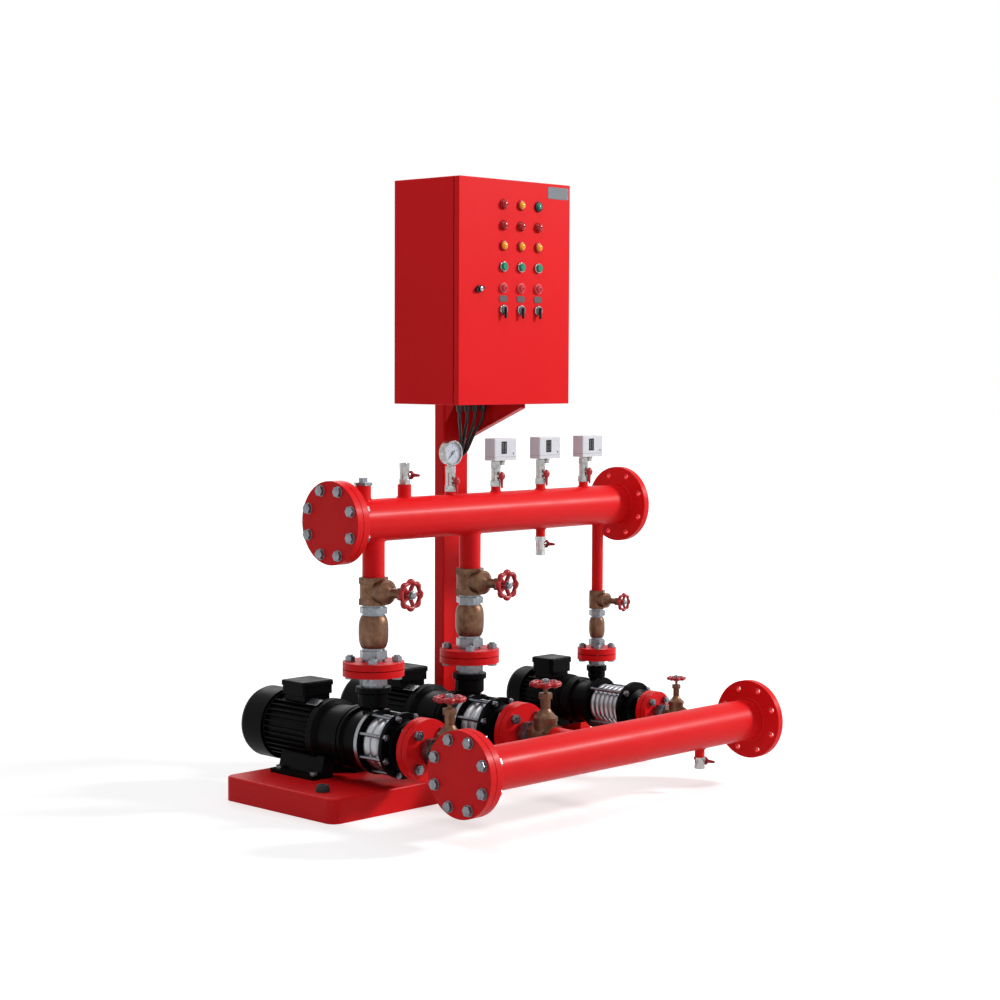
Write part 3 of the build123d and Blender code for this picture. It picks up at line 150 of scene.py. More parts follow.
# %% Floor
floor_mesh = bpy.data.meshes.new("floor")
half = 30.0  # metres from the middle to an edge
floor_corners = [(-half, -half, 0), (half, -half, 0), (half, half, 0), (-half, half, 0)]
floor_mesh.from_pydata(floor_corners, [], [(0, 1, 2, 3)])
floor = bpy.data.objects.new("floor", floor_mesh)
floor.location.z = -0.0005
scene.collection.objects.link(floor)
floor_paint = bpy.data.materials.new("matt_floor_paint")
floor_paint.use_nodes = True
tree = floor_paint.node_tree
tree.nodes.clear()
matt = add(tree, "BsdfDiffuse", {"Color": linear("#D8D8D8")})
spread = add(tree, "VectorMath", {"operation": "LENGTH"}, {0: add(tree, "TexCoord").outputs["Object"]})
fade = add(tree, "MapRange", {"From Min": 1.2, "From Max": 4.5, "To Min": 0.55, "To Max": 1.0},
           {"Value": spread.outputs["Value"]})
glow = add(tree, "Emission", {"Color": linear("#FFFFFF")}, {"Strength": fade.outputs[0]})
lit = add(tree, "AddShader", (), {0: matt.outputs[0], 1: glow.outputs[0]})
both = add(tree, "MixShader", (), {0: seen_rays(tree), 1: matt.outputs[0], 2: lit.outputs[0]})
add(tree, "OutputMaterial", (), {"Surface": both.outputs[0]})
floor_mesh.materials.append(floor_paint)
print("floor", 2 * half, "metres wide")

# %% [markdown]
# Every finish below is built on the same few nodes: a pattern in real millimetres, a bump from it,
# and the surface shader. Object coordinates are metres here, so a noise whose grains are s mm wide
# has a scale of 1000 / s. A bevel node rounds the light on the sharp CAD edges, as paint does.

# %% Helpers for the finishes
finishes = {}


def per(size):
    """The noise scale that gives grains of size millimetres."""
    return 1000.0 / size


def start(name):
    """A new material with only its output, and its coordinates in metres."""
    made = bpy.data.materials.new(name)
    made.use_nodes = True
    made.node_tree.nodes.clear()
    finishes[name] = made
    return made.node_tree, add(made.node_tree, "TexCoord").outputs["Object"]


def finish(tree, surface):
    """Joins the surface shader to the material's output."""
    add(tree, "OutputMaterial", (), {"Surface": surface.outputs[0]})


def wear(*names, material):
    """Gives CAD nodes one material, on every slot."""
    for name in names:
        mesh = nodes[name].data
        mesh.materials.clear()
        mesh.materials.append(finishes[material])


print("a 3 mm grain has scale", round(per(3), 1))

# %% [markdown]
# Pipes, flanges, base and post are steel sprayed with a gloss alkyd enamel in signal red. Sprayed
# enamel has a faint orange peel, about 3 mm from crest to crest, and slow changes of gloss where the
# coat is thicker. A white room would wash a deep red out to pink, so the shine is kept low, and a
# faint clear coat draws the sharp highlight of wet-looking paint over the soft one.

# %% Sprayed red enamel on steel
tree, where = start("sprayed_red_enamel")
cloud = add(tree, "TexNoise", {"Scale": per(140), "Detail": 3.0}, {"Vector": where})
tint = add(tree, "Mix", {"data_type": "RGBA", 6: linear("#DC1418"), 7: linear("#EA1C20")},
           {0: cloud.outputs["Fac"]})
gloss = add(tree, "MapRange", {"From Min": 0.3, "From Max": 0.7, "To Min": 0.36, "To Max": 0.48},
            {"Value": cloud.outputs["Fac"]})
peel = add(tree, "TexNoise", {"Scale": per(3.2), "Detail": 2.0}, {"Vector": where})
edge = add(tree, "Bevel", {"samples": 4, "Radius": 0.0016})
bump = add(tree, "Bump", {"Strength": 0.10, "Distance": 0.0004},
           {"Height": peel.outputs["Fac"], "Normal": edge.outputs[0]})
enamel = add(tree, "BsdfPrincipled",
             {"Specular IOR Level": 0.10, "Coat Weight": 0.04, "Coat Roughness": 0.22},
             {"Base Color": tint.outputs[2], "Roughness": gloss.outputs[0], "Normal": bump.outputs[0]})
finish(tree, enamel)
wear("base_frame", "support_post", "suction_header", "discharge_header", "header_branches",
     "header_flanges", "blind_flanges", "pump_flanges", material="sprayed_red_enamel")
print("orange peel", per(3.2), "grains per metre")

# %% [markdown]
# The cabinet is folded sheet with a baked polyester powder coat. The powder melts into a finer and
# more even peel than sprayed enamel, near 1.4 mm, and stays a little duller.

# %% Powder coat on folded sheet
tree, where = start("red_powder_coat")
cloud = add(tree, "TexNoise", {"Scale": per(260), "Detail": 2.0}, {"Vector": where})
tint = add(tree, "Mix", {"data_type": "RGBA", 6: linear("#DF1217"), 7: linear("#EA1A20")},
           {0: cloud.outputs["Fac"]})
grain = add(tree, "TexNoise", {"Scale": per(1.4), "Detail": 1.0}, {"Vector": where})
edge = add(tree, "Bevel", {"samples": 4, "Radius": 0.0015})
bump = add(tree, "Bump", {"Strength": 0.10, "Distance": 0.0002},
           {"Height": grain.outputs["Fac"], "Normal": edge.outputs[0]})
powder = add(tree, "BsdfPrincipled",
             {"Roughness": 0.40, "Specular IOR Level": 0.08, "Coat Weight": 0.02, "Coat Roughness": 0.25},
             {"Base Color": tint.outputs[2], "Normal": bump.outputs[0]})
finish(tree, powder)
wear("cabinet_box", "cabinet_door", material="red_powder_coat")
print("powder coat", round(per(1.4)), "grains per metre")

# %% [markdown]
# Motors and pump casings are grey iron cast in sand and dipped in black enamel. The sand shows
# through as a skin of 2 mm grains, and the thin paint turns dark grey on the raised grains. The fan
# covers are pressed sheet under the same paint, so they get the same colour without the grain.

# %% Black enamel on cast iron and on pressed sheet
for name, skin, height in (("black_enamel_cast_iron", 2.4, 0.0005),
                           ("black_enamel_pressed_sheet", 9.0, 0.00015)):
    tree, where = start(name)
    sand = add(tree, "TexNoise", {"Scale": per(skin), "Detail": 4.0, "Roughness": 0.6}, {"Vector": where})
    tint = add(tree, "Mix", {"data_type": "RGBA", 6: linear("#040405"), 7: linear("#0C0C0E")},
               {0: sand.outputs["Fac"]})
    cloud = add(tree, "TexNoise", {"Scale": per(45), "Detail": 2.0}, {"Vector": where})
    gloss = add(tree, "MapRange", {"From Min": 0.3, "From Max": 0.7, "To Min": 0.26, "To Max": 0.44},
                {"Value": cloud.outputs["Fac"]})
    edge = add(tree, "Bevel", {"samples": 4, "Radius": 0.0014})
    bump = add(tree, "Bump", {"Strength": 0.45, "Distance": height},
               {"Height": sand.outputs["Fac"], "Normal": edge.outputs[0]})
    enamel = add(tree, "BsdfPrincipled", {"Specular IOR Level": 0.04},
                 {"Base Color": tint.outputs[2], "Roughness": gloss.outputs[0], "Normal": bump.outputs[0]})
    finish(tree, enamel)
wear("motor_housings", "pump_casings", "terminal_boxes", material="black_enamel_cast_iron")
wear("fan_covers", material="black_enamel_pressed_sheet")
print("cast iron grains", round(per(2.4)), "per metre")

# %% [markdown]
# Valve bodies are bronze, cast in sand and only machined at their ends. Air turns the casting skin
# brown and uneven, so the colour wanders between a pinkish tan and a dark brown over a centimetre or
# two, and the gloss wanders with it.

# %% Sand-cast bronze
tree, where = start("sand_cast_bronze")
patch = add(tree, "TexNoise", {"Scale": per(16), "Detail": 5.0, "Roughness": 0.6}, {"Vector": where})
tint = add(tree, "Mix", {"data_type": "RGBA", 6: linear("#38231A"), 7: linear("#8E6B53")},
           {0: patch.outputs["Fac"]})
gloss = add(tree, "MapRange", {"From Min": 0.3, "From Max": 0.7, "To Min": 0.52, "To Max": 0.36},
            {"Value": patch.outputs["Fac"]})
sand = add(tree, "TexNoise", {"Scale": per(1.8), "Detail": 3.0}, {"Vector": where})
edge = add(tree, "Bevel", {"samples": 4, "Radius": 0.0016})
bump = add(tree, "Bump", {"Strength": 0.40, "Distance": 0.0004},
           {"Height": sand.outputs["Fac"], "Normal": edge.outputs[0]})
bronze = add(tree, "BsdfPrincipled", {"Metallic": 0.85},
             {"Base Color": tint.outputs[2], "Roughness": gloss.outputs[0], "Normal": bump.outputs[0]})
finish(tree, bronze)
wear("gate_valve_bodies", "valve_bonnets", "check_valve_bodies", material="sand_cast_bronze")
print("bronze patches", round(per(16)), "per metre")

# %% [markdown]
# Bolts, tie rods and nipples are steel with a bright zinc plate. Zinc dulls in soft blotches a few
# millimetres wide. The ball valves are brass under satin nickel, which is warmer and smoother, and
# turned shafts keep fine rings from the lathe tool.

# %% Zinc plate, nickel plate and turned steel
for name, low, high, blotch, smooth, rough in (
        ("bright_zinc_plate", "#4C5056", "#9A9EA4", 7.0, 0.26, 0.42),
        ("satin_nickel_plate", "#56575A", "#CFCDCA", 10.0, 0.12, 0.26),
        ("turned_steel", "#6C6E72", "#A6A8AC", 3.0, 0.22, 0.36)):
    tree, where = start(name)
    spots = add(tree, "TexNoise", {"Scale": per(blotch), "Detail": 3.0}, {"Vector": where})
    tint = add(tree, "Mix", {"data_type": "RGBA", 6: linear(low), 7: linear(high)},
               {0: spots.outputs["Fac"]})
    gloss = add(tree, "MapRange", {"From Min": 0.3, "From Max": 0.7, "To Min": smooth, "To Max": rough},
                {"Value": spots.outputs["Fac"]})
    edge = add(tree, "Bevel", {"samples": 4, "Radius": 0.0008})
    bump = add(tree, "Bump", {"Strength": 0.15, "Distance": 0.0002},
               {"Height": spots.outputs["Fac"], "Normal": edge.outputs[0]})
    metal = add(tree, "BsdfPrincipled", {"Metallic": 1.0},
                {"Base Color": tint.outputs[2], "Roughness": gloss.outputs[0], "Normal": bump.outputs[0]})
    finish(tree, metal)
wear("flange_bolts", "foot_bolts", "tie_rods", "pipe_nipples", material="bright_zinc_plate")
wear("ball_valve_bodies", "button_bezels", "gauge_case", material="satin_nickel_plate")
wear("pump_rotor_1", "pump_rotor_2", "pump_rotor_3", "shaft_bearings", material="turned_steel")
print("plated finishes", [name for name in finishes if "plate" in name])

# %% [markdown]
# The stage casings are stainless sheet pressed into rings over a die that turns with them. Fine lines
# run round the shaft, so the pattern changes along the shaft only: a noise stretched in X and Z. Real
# lines are finer than a pixel, so they are drawn 0.9 mm apart.

# %% Pressed stainless steel
tree, where = start("pressed_stainless_steel")
stretch = add(tree, "Mapping", {"Scale": (20.0, per(0.9), 20.0)}, {"Vector": where})
lines = add(tree, "TexNoise", {"Scale": 1.0, "Detail": 2.0}, {"Vector": stretch.outputs[0]})
gloss = add(tree, "MapRange", {"To Min": 0.28, "To Max": 0.46}, {"Value": lines.outputs["Fac"]})
bump = add(tree, "Bump", {"Strength": 0.12, "Distance": 0.0001}, {"Height": lines.outputs["Fac"]})
stainless = add(tree, "BsdfPrincipled", {"Metallic": 1.0, "Base Color": linear("#A4A6AA")},
                {"Roughness": gloss.outputs[0], "Normal": bump.outputs[0]})
finish(tree, stainless)
wear("stage_casings", material="pressed_stainless_steel")
print("lines round the shaft", round(per(0.9)), "per metre")

# %% [markdown]
# Rubber scatters light from a surface full of tiny pits and has almost no shine; a cable sheath of
# soft PVC is smoother. Both are near black and differ mostly in roughness and in the size of the pits.

# %% Rubber and cable sheath
for name, colour, pit, rough in (("cut_sheet_rubber", "#1B1B1C", 0.8, 0.80),
                                 ("extruded_pvc_sheath", "#101012", 4.0, 0.42)):
    tree, where = start(name)
    pits = add(tree, "TexNoise", {"Scale": per(pit), "Detail": 2.0}, {"Vector": where})
    bump = add(tree, "Bump", {"Strength": 0.3, "Distance": 0.0002}, {"Height": pits.outputs["Fac"]})
    gloss = add(tree, "MapRange", {"To Min": rough - 0.06, "To Max": rough + 0.06},
                {"Value": pits.outputs["Fac"]})
    soft = add(tree, "BsdfPrincipled", {"Base Color": linear(colour)},
               {"Roughness": gloss.outputs[0], "Normal": bump.outputs[0]})
    finish(tree, soft)
wear("flange_gaskets", "base_stop", material="cut_sheet_rubber")
wear("cable_glands", "control_cables", material="extruded_pvc_sheath")
print("rubber pits", round(per(0.8)), "per metre")

# %% [markdown]
# Housings, buttons and knobs are injection moulded. Their mould was spark eroded, which leaves an
# even, very fine texture, and the resin gives a soft light under the skin. One loop makes them all,
# because they differ only in resin, colour and polish.

# %% Moulded plastics
for name, colour, rough in (
        ("moulded_white_abs", "#DADBE1", 0.34), ("moulded_grey_abs", "#74797F", 0.45),
        ("moulded_brown_grey_abs", "#5F5355", 0.45), ("moulded_black_nylon", "#0E0E10", 0.38),
        ("moulded_green_cap", "#0F9070", 0.30), ("moulded_pink_cap", "#D43A42", 0.30),
        ("moulded_red_cap", "#A00E16", 0.30), ("moulded_pale_pink_ring", "#E0666C", 0.35),
        ("moulded_dark_red_ring", "#A81216", 0.35), ("moulded_cream_relay", "#D8D4C6", 0.40)):
    tree, where = start(name)
    skin = add(tree, "TexNoise", {"Scale": per(0.7), "Detail": 1.0}, {"Vector": where})
    smear = add(tree, "TexNoise", {"Scale": per(30), "Detail": 2.0}, {"Vector": where})
    gloss = add(tree, "MapRange", {"To Min": rough - 0.07, "To Max": rough + 0.07},
                {"Value": smear.outputs["Fac"]})
    edge = add(tree, "Bevel", {"samples": 4, "Radius": 0.0007})
    bump = add(tree, "Bump", {"Strength": 0.12, "Distance": 0.0001},
               {"Height": skin.outputs["Fac"], "Normal": edge.outputs[0]})
    plastic = add(tree, "BsdfPrincipled",
                  {"Base Color": linear(colour), "Subsurface Weight": 0.05, "Subsurface Scale": 0.001,
                   "Specular IOR Level": 0.25},
                  {"Roughness": gloss.outputs[0], "Normal": bump.outputs[0]})
    finish(tree, plastic)
wear("pressure_switches", material="moulded_white_abs")
wear("start_button_1", "start_button_2", "start_button_3", material="moulded_green_cap")
wear("stop_button_1", "stop_button_2", "stop_button_3", material="moulded_pink_cap")
wear("selector_1", "selector_2", "selector_3", "gauge_needle", "door_latch", material="moulded_black_nylon")
print("plastics", sum("moulded" in name for name in finishes))

# %% [markdown]
# A lamp lens is clear acrylic dyed in the mass and moulded with ribs inside, which break up the
# view of the bulb. Coloured acrylic over a dark cup looks deep and glossy, and the amber ones look
# bright.

# %% Dyed acrylic lenses
for name, colour in (("dyed_red_acrylic", "#B01016"), ("dyed_amber_acrylic", "#FAAE1E"),
                     ("dyed_green_acrylic", "#12A47A")):
    tree, where = start(name)
    ribs = add(tree, "TexWave",
               {"Scale": per(2.0) / 6.2832, "Distortion": 0.0, "bands_direction": "X"}, {"Vector": where})
    bump = add(tree, "Bump", {"Strength": 0.35, "Distance": 0.0004}, {"Height": ribs.outputs["Fac"]})
    acrylic = add(tree, "BsdfPrincipled",
                  {"Base Color": linear(colour), "Roughness": 0.22, "Specular IOR Level": 0.3,
                   "Subsurface Weight": 0.2, "Subsurface Scale": 0.003},
                  {"Normal": bump.outputs[0]})
    finish(tree, acrylic)
print("lens ribs 2 mm apart")

# %% [markdown]
# The plate inside the cabinet is hot-dip galvanised: zinc freezes into flat crystals about 8 mm
# across, each with its own grey. A Voronoi pattern gives every crystal one random value.

# %% Galvanised sheet
tree, where = start("galvanised_sheet")
crystal = add(tree, "TexVoronoi", {"Scale": per(8)}, {"Vector": where})
shade = add(tree, "Mix", {"data_type": "RGBA", 6: linear("#9BA0A3"), 7: linear("#C2C6C8")},
            {0: crystal.outputs["Color"]})
zinc = add(tree, "BsdfPrincipled", {"Metallic": 0.9, "Roughness": 0.42}, {"Base Color": shade.outputs[2]})
finish(tree, zinc)
wear("switchgear_panel", material="galvanised_sheet")
print("zinc crystals", per(8), "per metre")

# %% [markdown]
# Handwheels and small levers are cast or pressed and dipped in a darker, thicker red enamel, which
# runs off the edges. A slow noise darkens it, and a bigger bevel rounds the light on its rims.

# %% Dipped red enamel
tree, where = start("dipped_red_enamel")
run = add(tree, "TexNoise", {"Scale": per(9), "Detail": 3.0}, {"Vector": where})
tint = add(tree, "Mix", {"data_type": "RGBA", 6: linear("#8E0C14"), 7: linear("#C4151F")},
           {0: run.outputs["Fac"]})
edge = add(tree, "Bevel", {"samples": 4, "Radius": 0.0014})
bump = add(tree, "Bump", {"Strength": 0.25, "Distance": 0.0003},
           {"Height": run.outputs["Fac"], "Normal": edge.outputs[0]})
enamel = add(tree, "BsdfPrincipled",
             {"Roughness": 0.28, "Specular IOR Level": 0.3, "Coat Weight": 0.08, "Coat Roughness": 0.1},
             {"Base Color": tint.outputs[2], "Normal": bump.outputs[0]})
finish(tree, enamel)
for name in nodes:
    if "handwheel" in name or "_lever" in name:
        wear(name, material="dipped_red_enamel")
painted = [o.data.materials[0].name for o in nodes.values() if o.data.materials]
print("CAD nodes with a finish", sum(name in finishes for name in painted), "of", len(nodes))

# %% [markdown]
# From here on, places are needed. The three pumps stand along the headers, and every number is the
# same as in the CAD source, in millimetres: where the stages start, how many there are, and where the
# valves sit. Directions get a name each, because the same few come back at every piece.

# %% Places and directions
to_right, to_left = (1, 0, 0), (-1, 0, 0)
to_front, to_rear = (0, -1, 0), (0, 1, 0)
to_top, to_floor = (0, 0, 1), (0, 0, -1)
shaft_z = 178.0
discharge_y, discharge_z = -120.0, 766.0
suction_y = -620.0
header_r = 57.15
big = {"pipe": 30.15, "stage_y": -150.0, "stage_r": 73.5, "inner": 55.0, "stages": 3, "pitch": 28.0,
       "gate_y": -410.0, "gate_z": 578.0, "offset": 144.0, "wheel": 44.0, "check": (426.0, 87.0, 40.0)}
small = {"pipe": 16.85, "stage_y": -140.0, "stage_r": 57.0, "inner": 46.0, "stages": 7, "pitch": 122 / 7,
         "gate_y": -426.0, "gate_z": 485.0, "offset": 104.0, "wheel": 28.0, "check": (372.0, 60.0, 23.5)}
pumps = ((-399.0, big), (-37.0, big), (498.0, small))
print("pumps at", [x for x, pump in pumps])

# %% [markdown]
# Some CAD nodes hold two real materials, such as a switch box on a metal shank. The shape is right,
# so only the material of some faces changes: each face is tested by the place of its centre, in
# millimetres. The main pumps' casings get a band of bare turned steel on their rim as a painted
# highlight, standing in for the bright arc that light draws on the black rim; the stop buttons have
# pale rings, and the devices in the cabinet are cream or black on their zinc plate. No vertex moves.

# %% Second materials on CAD nodes
def wear_where(name, material, test):
    """Gives the faces of a CAD node whose centre passes the test another material."""
    mesh = nodes[name].data
    mesh.materials.append(finishes[material])
    index = len(mesh.materials) - 1
    for face in mesh.polygons:
        if test(face.center / mm):
            face.material_index = index


door_face, stop_z = -108.5, 1395.0
switch_box_z = 911.0
devices_y = 122.8
contactor_low, contactor_high = 1270.0, 1440.0
rim_inner, rim_outer = 79.0, 89.0


def on_rim_highlight_band(spot):
    """Whether a face is on the rim band where a main pump's stages begin, which gets bare steel as a painted
    highlight.
    """
    off_axis = min(abs(spot.x - x) for x, pump in pumps if pump is big)
    depth = spot.y - big["stage_y"]
    return -0.5 < depth < 12.5 and rim_inner < math.hypot(off_axis, spot.z - shaft_z) < rim_outer


def on_contactors(spot):
    """Whether a face is on the middle row of devices in the cabinet."""
    return spot.y < devices_y and contactor_low < spot.z < contactor_high


wear_where("pressure_switches", "satin_nickel_plate", lambda spot: spot.z < switch_box_z)
wear_where("button_bezels", "moulded_pale_pink_ring", lambda spot: abs(spot.z - stop_z) < 16)
wear_where("button_bezels", "moulded_black_nylon", lambda spot: spot.y > door_face + 0.1)
# Bare turned steel on the casing rims is a painted highlight for the bright arc on the black rim.
wear_where("pump_casings", "turned_steel", on_rim_highlight_band)
wear_where("switchgear_panel", "moulded_cream_relay", lambda spot: spot.y < devices_y)
wear_where("switchgear_panel", "moulded_black_nylon", on_contactors)
rim_highlight_faces = sum(face.material_index for face in nodes["pump_casings"].data.polygons)
print("faces on the casing rims", rim_highlight_faces)

# %% [markdown]
# The forms below are lists of points and faces in millimetres, made along Z. A matrix stands each one
# in its place and also turns millimetres into metres. Most small parts are turned or bent round bar,
# so two forms do most of the work: a lathe form is an outline turned round Z, and a tube form is a
# circle carried along a path.

# %% Turned and bent forms
def stand(origin, along=(0, 0, 1), first=None):
    """Stands a form made along Z, in millimetres, at origin on the axis along."""
    z = Vector(along).normalized()
    x = Vector(first) if first else Vector((0, 1, 0) if abs(z.x) > 0.9 else (1, 0, 0))
    y = z.cross(x).normalized()
    turn = Matrix((y.cross(z), y, z)).transposed().to_4x4()
    return Matrix.Scale(mm, 4) @ Matrix.Translation(origin) @ turn


def circle(count, radius=1.0, first=0.0):
    """Points spread evenly round Z."""
    angles = [math.radians(first) + math.tau * i / count for i in range(count)]
    return [(radius * math.cos(angle), radius * math.sin(angle)) for angle in angles]


def lathe(outline, steps=48, closed=False):
    """An outline of (radius, height) points turned round Z."""
    count = len(outline)
    points = [(radius * x, radius * y, height) for x, y in circle(steps) for radius, height in outline]
    faces = []
    for i in range(steps):
        for j in range(count if closed else count - 1):
            k = (j + 1) % count
            here, there = i * count, (i + 1) % steps * count
            faces.append((here + j, there + j, there + k, here + k))
    return points, faces


def tube(path, radii, sides=10, closed=False):
    """A round bar along a path, with one radius for each of its points."""
    path = [Vector(point) for point in path]
    count = len(path)
    normal = None
    points = []
    for i, point in enumerate(path):
        after = path[(i + 1) % count] if closed else path[min(i + 1, count - 1)]
        before = path[i - 1] if closed or i else path[0]
        tangent = (after - before).normalized()
        normal = tangent.orthogonal() if normal is None else normal - normal.dot(tangent) * tangent
        normal.normalize()
        side = tangent.cross(normal)
        points += [tuple(point + radii[i] * (x * normal + y * side)) for x, y in circle(sides)]
    faces = []
    for i in range(count if closed else count - 1):
        here, there = i * sides, (i + 1) % count * sides
        for j in range(sides):
            k = (j + 1) % sides
            faces.append((here + j, here + k, there + k, there + j))
    if not closed:
        faces += [tuple(range(sides)), tuple(range((count - 1) * sides, count * sides))]
    return points, faces


print("a plain ring has", len(lathe([(1, 0), (2, 0), (2, 1), (1, 1)], 48, True)[1]), "faces")

# %% [markdown]
# Two more forms are common on machines: the hexagon, whose corners are turned off on top so that a
# spanner slips on, and the flat plate with round corners and a broken front edge.

# %% Hexagons and plates
def hexagon(across, height):
    """A hexagon nut or head with its turned chamfer on top."""
    corner = across / math.sqrt(3)
    rim = [(corner if i % 2 == 0 else across / 2) for i in range(12)]
    drop = [(across * 0.09 if i % 2 == 0 else 0.0) for i in range(12)]
    ring = circle(12)
    points = [(r * x, r * y, 0) for r, (x, y) in zip(rim, ring)]
    points += [(r * x, r * y, height - d) for r, d, (x, y) in zip(rim, drop, ring)]
    points += [(across * 0.46 * x, across * 0.46 * y, height) for x, y in ring]
    faces = [tuple(range(12)), tuple(range(24, 36))]
    for low in (0, 12):
        faces += [(low + i, low + (i + 1) % 12, low + 12 + (i + 1) % 12, low + 12 + i) for i in range(12)]
    return points, faces


def slab(width, height, thick, corner, edge=0.4):
    """A flat plate with round corners and a softened front edge, its back at z 0."""
    points = []
    for inset, level in ((0, 0), (0, thick - edge), (edge, thick)):
        for quarter, (x, y) in enumerate(((1, 1), (-1, 1), (-1, -1), (1, -1))):
            for step in range(5):
                angle = math.radians(90 * quarter + 22.5 * step)
                reach = corner - inset
                points.append((x * (width / 2 - corner) + reach * math.cos(angle),
                               y * (height / 2 - corner) + reach * math.sin(angle), level))
    faces = [tuple(range(20)), tuple(range(40, 60))]
    for low in (0, 20):
        faces += [(low + i, low + (i + 1) % 20, low + 20 + (i + 1) % 20, low + 20 + i) for i in range(20)]
    return points, faces


print("a nut has", len(hexagon(24, 12)[1]), "faces")

# %% [markdown]
# One function turns forms into a piece of the scene: it welds them into one mesh, shades it smooth
# except where two faces meet at more than 35 degrees, gives it a finish, and tells the frame which
# body the piece rides on and which CAD nodes it stands for.

# %% One piece from several forms
def show(name, parts, material, body="root", instead=()):
    """One piece from (matrix, form) parts, which rides on a body and may stand for CAD nodes."""
    made = bmesh.new()
    for matrix, (points, faces) in parts:
        corners = [made.verts.new(matrix @ Vector(point)) for point in points]
        for face in faces:
            made.faces.new([corners[i] for i in face])
    bmesh.ops.remove_doubles(made, verts=made.verts, dist=1e-6)
    bmesh.ops.recalc_face_normals(made, faces=made.faces)
    mesh = bpy.data.meshes.new(name)
    made.to_mesh(mesh)
    made.free()
    mesh.shade_smooth()
    mesh.set_sharp_from_angle(angle=math.radians(35))
    mesh.materials.append(finishes[material])
    obj = bpy.data.objects.new(name, mesh)
    scene.collection.objects.link(obj)
    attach(obj, body)
    if instead:
        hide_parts(*instead)


print("finishes ready for pieces", len(finishes))

# %% [markdown]
# A valve handwheel is cast iron: a rim with eight finger scallops, five spokes and a hub. A plain
# ring would look like a toy, so the rim is a tube whose path and thickness both swell eight times
# round, and the spokes are bars that dish down to the hub. The nut on top is bare metal.

# %% Handwheels
def wheel_form(radius):
    """Parts of a scalloped rim, spokes and hub, its plane at z 0."""
    steps, scallops = 96, 8
    waves = [math.cos(math.radians(360 / steps * scallops * i)) for i in range(steps)]
    rim = [(radius * (0.775 + 0.04 * w) * x, radius * (0.775 + 0.04 * w) * y, 0)
           for w, (x, y) in zip(waves, circle(steps))]
    forms = [tube(rim, [radius * (0.155 + 0.025 * w) for w in waves], 14, True)]
    bore, hub = radius * 0.125, radius * 0.27
    forms.append(lathe([(bore, -radius * 0.30), (hub * 0.85, -radius * 0.30), (hub, -radius * 0.24),
                        (hub, radius * 0.05), (hub * 0.85, radius * 0.10), (bore, radius * 0.10)], 32, True))
    for x, y in circle(5):
        path = [(radius * share * x, radius * share * y, -radius * dish)
                for share, dish in ((0.2, 0.10), (0.4, 0.09), (0.6, 0.05), (0.75, 0.0))]
        forms.append(tube(path, [radius * size for size in (0.15, 0.14, 0.13, 0.14)]))
    return forms


for number, (x, pump) in enumerate(pumps, 1):
    reach, radius = pump["offset"], pump["wheel"]
    for side, centre, axis in (("discharge", (x, discharge_y - reach, pump["gate_z"]), to_front),
                               ("suction", (x, pump["gate_y"], shaft_z + reach), to_top)):
        body = f"{side}_wheel_{number}"
        at = stand(centre, axis)
        show(f"{side}_wheel_rim_{number}", [(at, form) for form in wheel_form(radius)],
             "dipped_red_enamel", body, [f"{side}_handwheel_{number}"])
        thin, length = radius * 0.125, reach * 0.76 + radius * 0.1
        low = at @ Matrix.Translation((0, 0, -reach * 0.76))
        stem = lathe([(0, 0), (thin, 0), (thin, length), (0, length)], 24)
        show(f"{side}_wheel_stem_{number}", [(low, stem)], "sand_cast_bronze", body)
        wide, sheet, nut_height = radius * 0.27, radius * 0.03, radius * 0.15
        high = at @ Matrix.Translation((0, 0, radius * 0.10))
        washer = lathe([(0, 0), (wide, 0), (wide, sheet), (0, sheet)], 32)
        nut = high @ Matrix.Translation((0, 0, sheet))
        tip = nut @ Matrix.Translation((0, 0, nut_height))
        end = lathe([(0, radius * 0.05), (radius * 0.11, radius * 0.04), (thin, 0), (0, 0)], 24)
        show(f"{side}_wheel_nut_{number}",
             [(high, washer), (nut, hexagon(radius * 0.42, nut_height)), (tip, end)],
             "bright_zinc_plate", body)

# %% [markdown]
# The small valves have cast levers with a domed boss and one long arm, thinner towards its end. An
# open valve's arm lies along the pipe and points back at the header; a shut valve's arm stands across
# it. Each lever is drawn once along its own axes and stood on its valve. The list gives each lever's
# node, body, place and axis, and the direction that its arm points away from.

# %% Levers of the small valves
pin = lathe([(0, 6), (3.0, 6), (3.0, 20), (0, 20)], 20)
boss = lathe([(0, 30.5), (5.0, 30.0), (9.6, 27.6), (12.0, 24.0), (11.0, 20.6), (8.0, 19.2), (0, 19.2)], 32)
arm = tube([(0, 13, 31), (0, 7, 31.5), (0, 0, 32), (0, -10, 32), (0, -22, 33), (0, -32, 34), (0, -34, 34)],
           [2.2, 4.6, 7.0, 5.6, 4.2, 3.4, 1.6], 14)
flatter = Matrix.Diagonal((1.0, 1.0, 0.72, 1.0))
top, foot = discharge_z + header_r, discharge_z - header_r
switch_x = (65.0, 249.0, 433.0)
lever_places = [
    ("vent_valve_lever", "vent_valve_handle", (-287, discharge_y, top + 58.36), to_right, to_rear),
    ("gauge_valve_lever", "gauge_valve_handle", (-113.5, discharge_y, top + 37.4), to_front, to_top),
    ("header_drain_lever", "header_drain_handle", (250, discharge_y, foot - 44.68), to_right, to_rear),
    ("suction_drain_lever", "suction_drain_handle", (365, suction_y, shaft_z - header_r - 36.44),
     to_right, to_rear)]
for number, x in enumerate(switch_x, 1):
    lever_places.append((f"switch_valve_lever_{number}", f"switch_valve_{number}_handle",
                         (x, discharge_y, top + 44.4), to_front, to_top))
for name, body, centre, axis, away in lever_places:
    at = stand(centre, axis, Vector(away).cross(Vector(axis)))
    show(f"{name}_form", [(at, pin), (at, boss), (at @ flatter, arm)],
         "dipped_red_enamel", body, [name])
print("levers", len(lever_places))

# %% [markdown]
# A spring check valve is a cast barrel that is widest over its spring and narrows to both threads.
# Its outline is given as shares of its length and radius, so one list serves both sizes of valve.

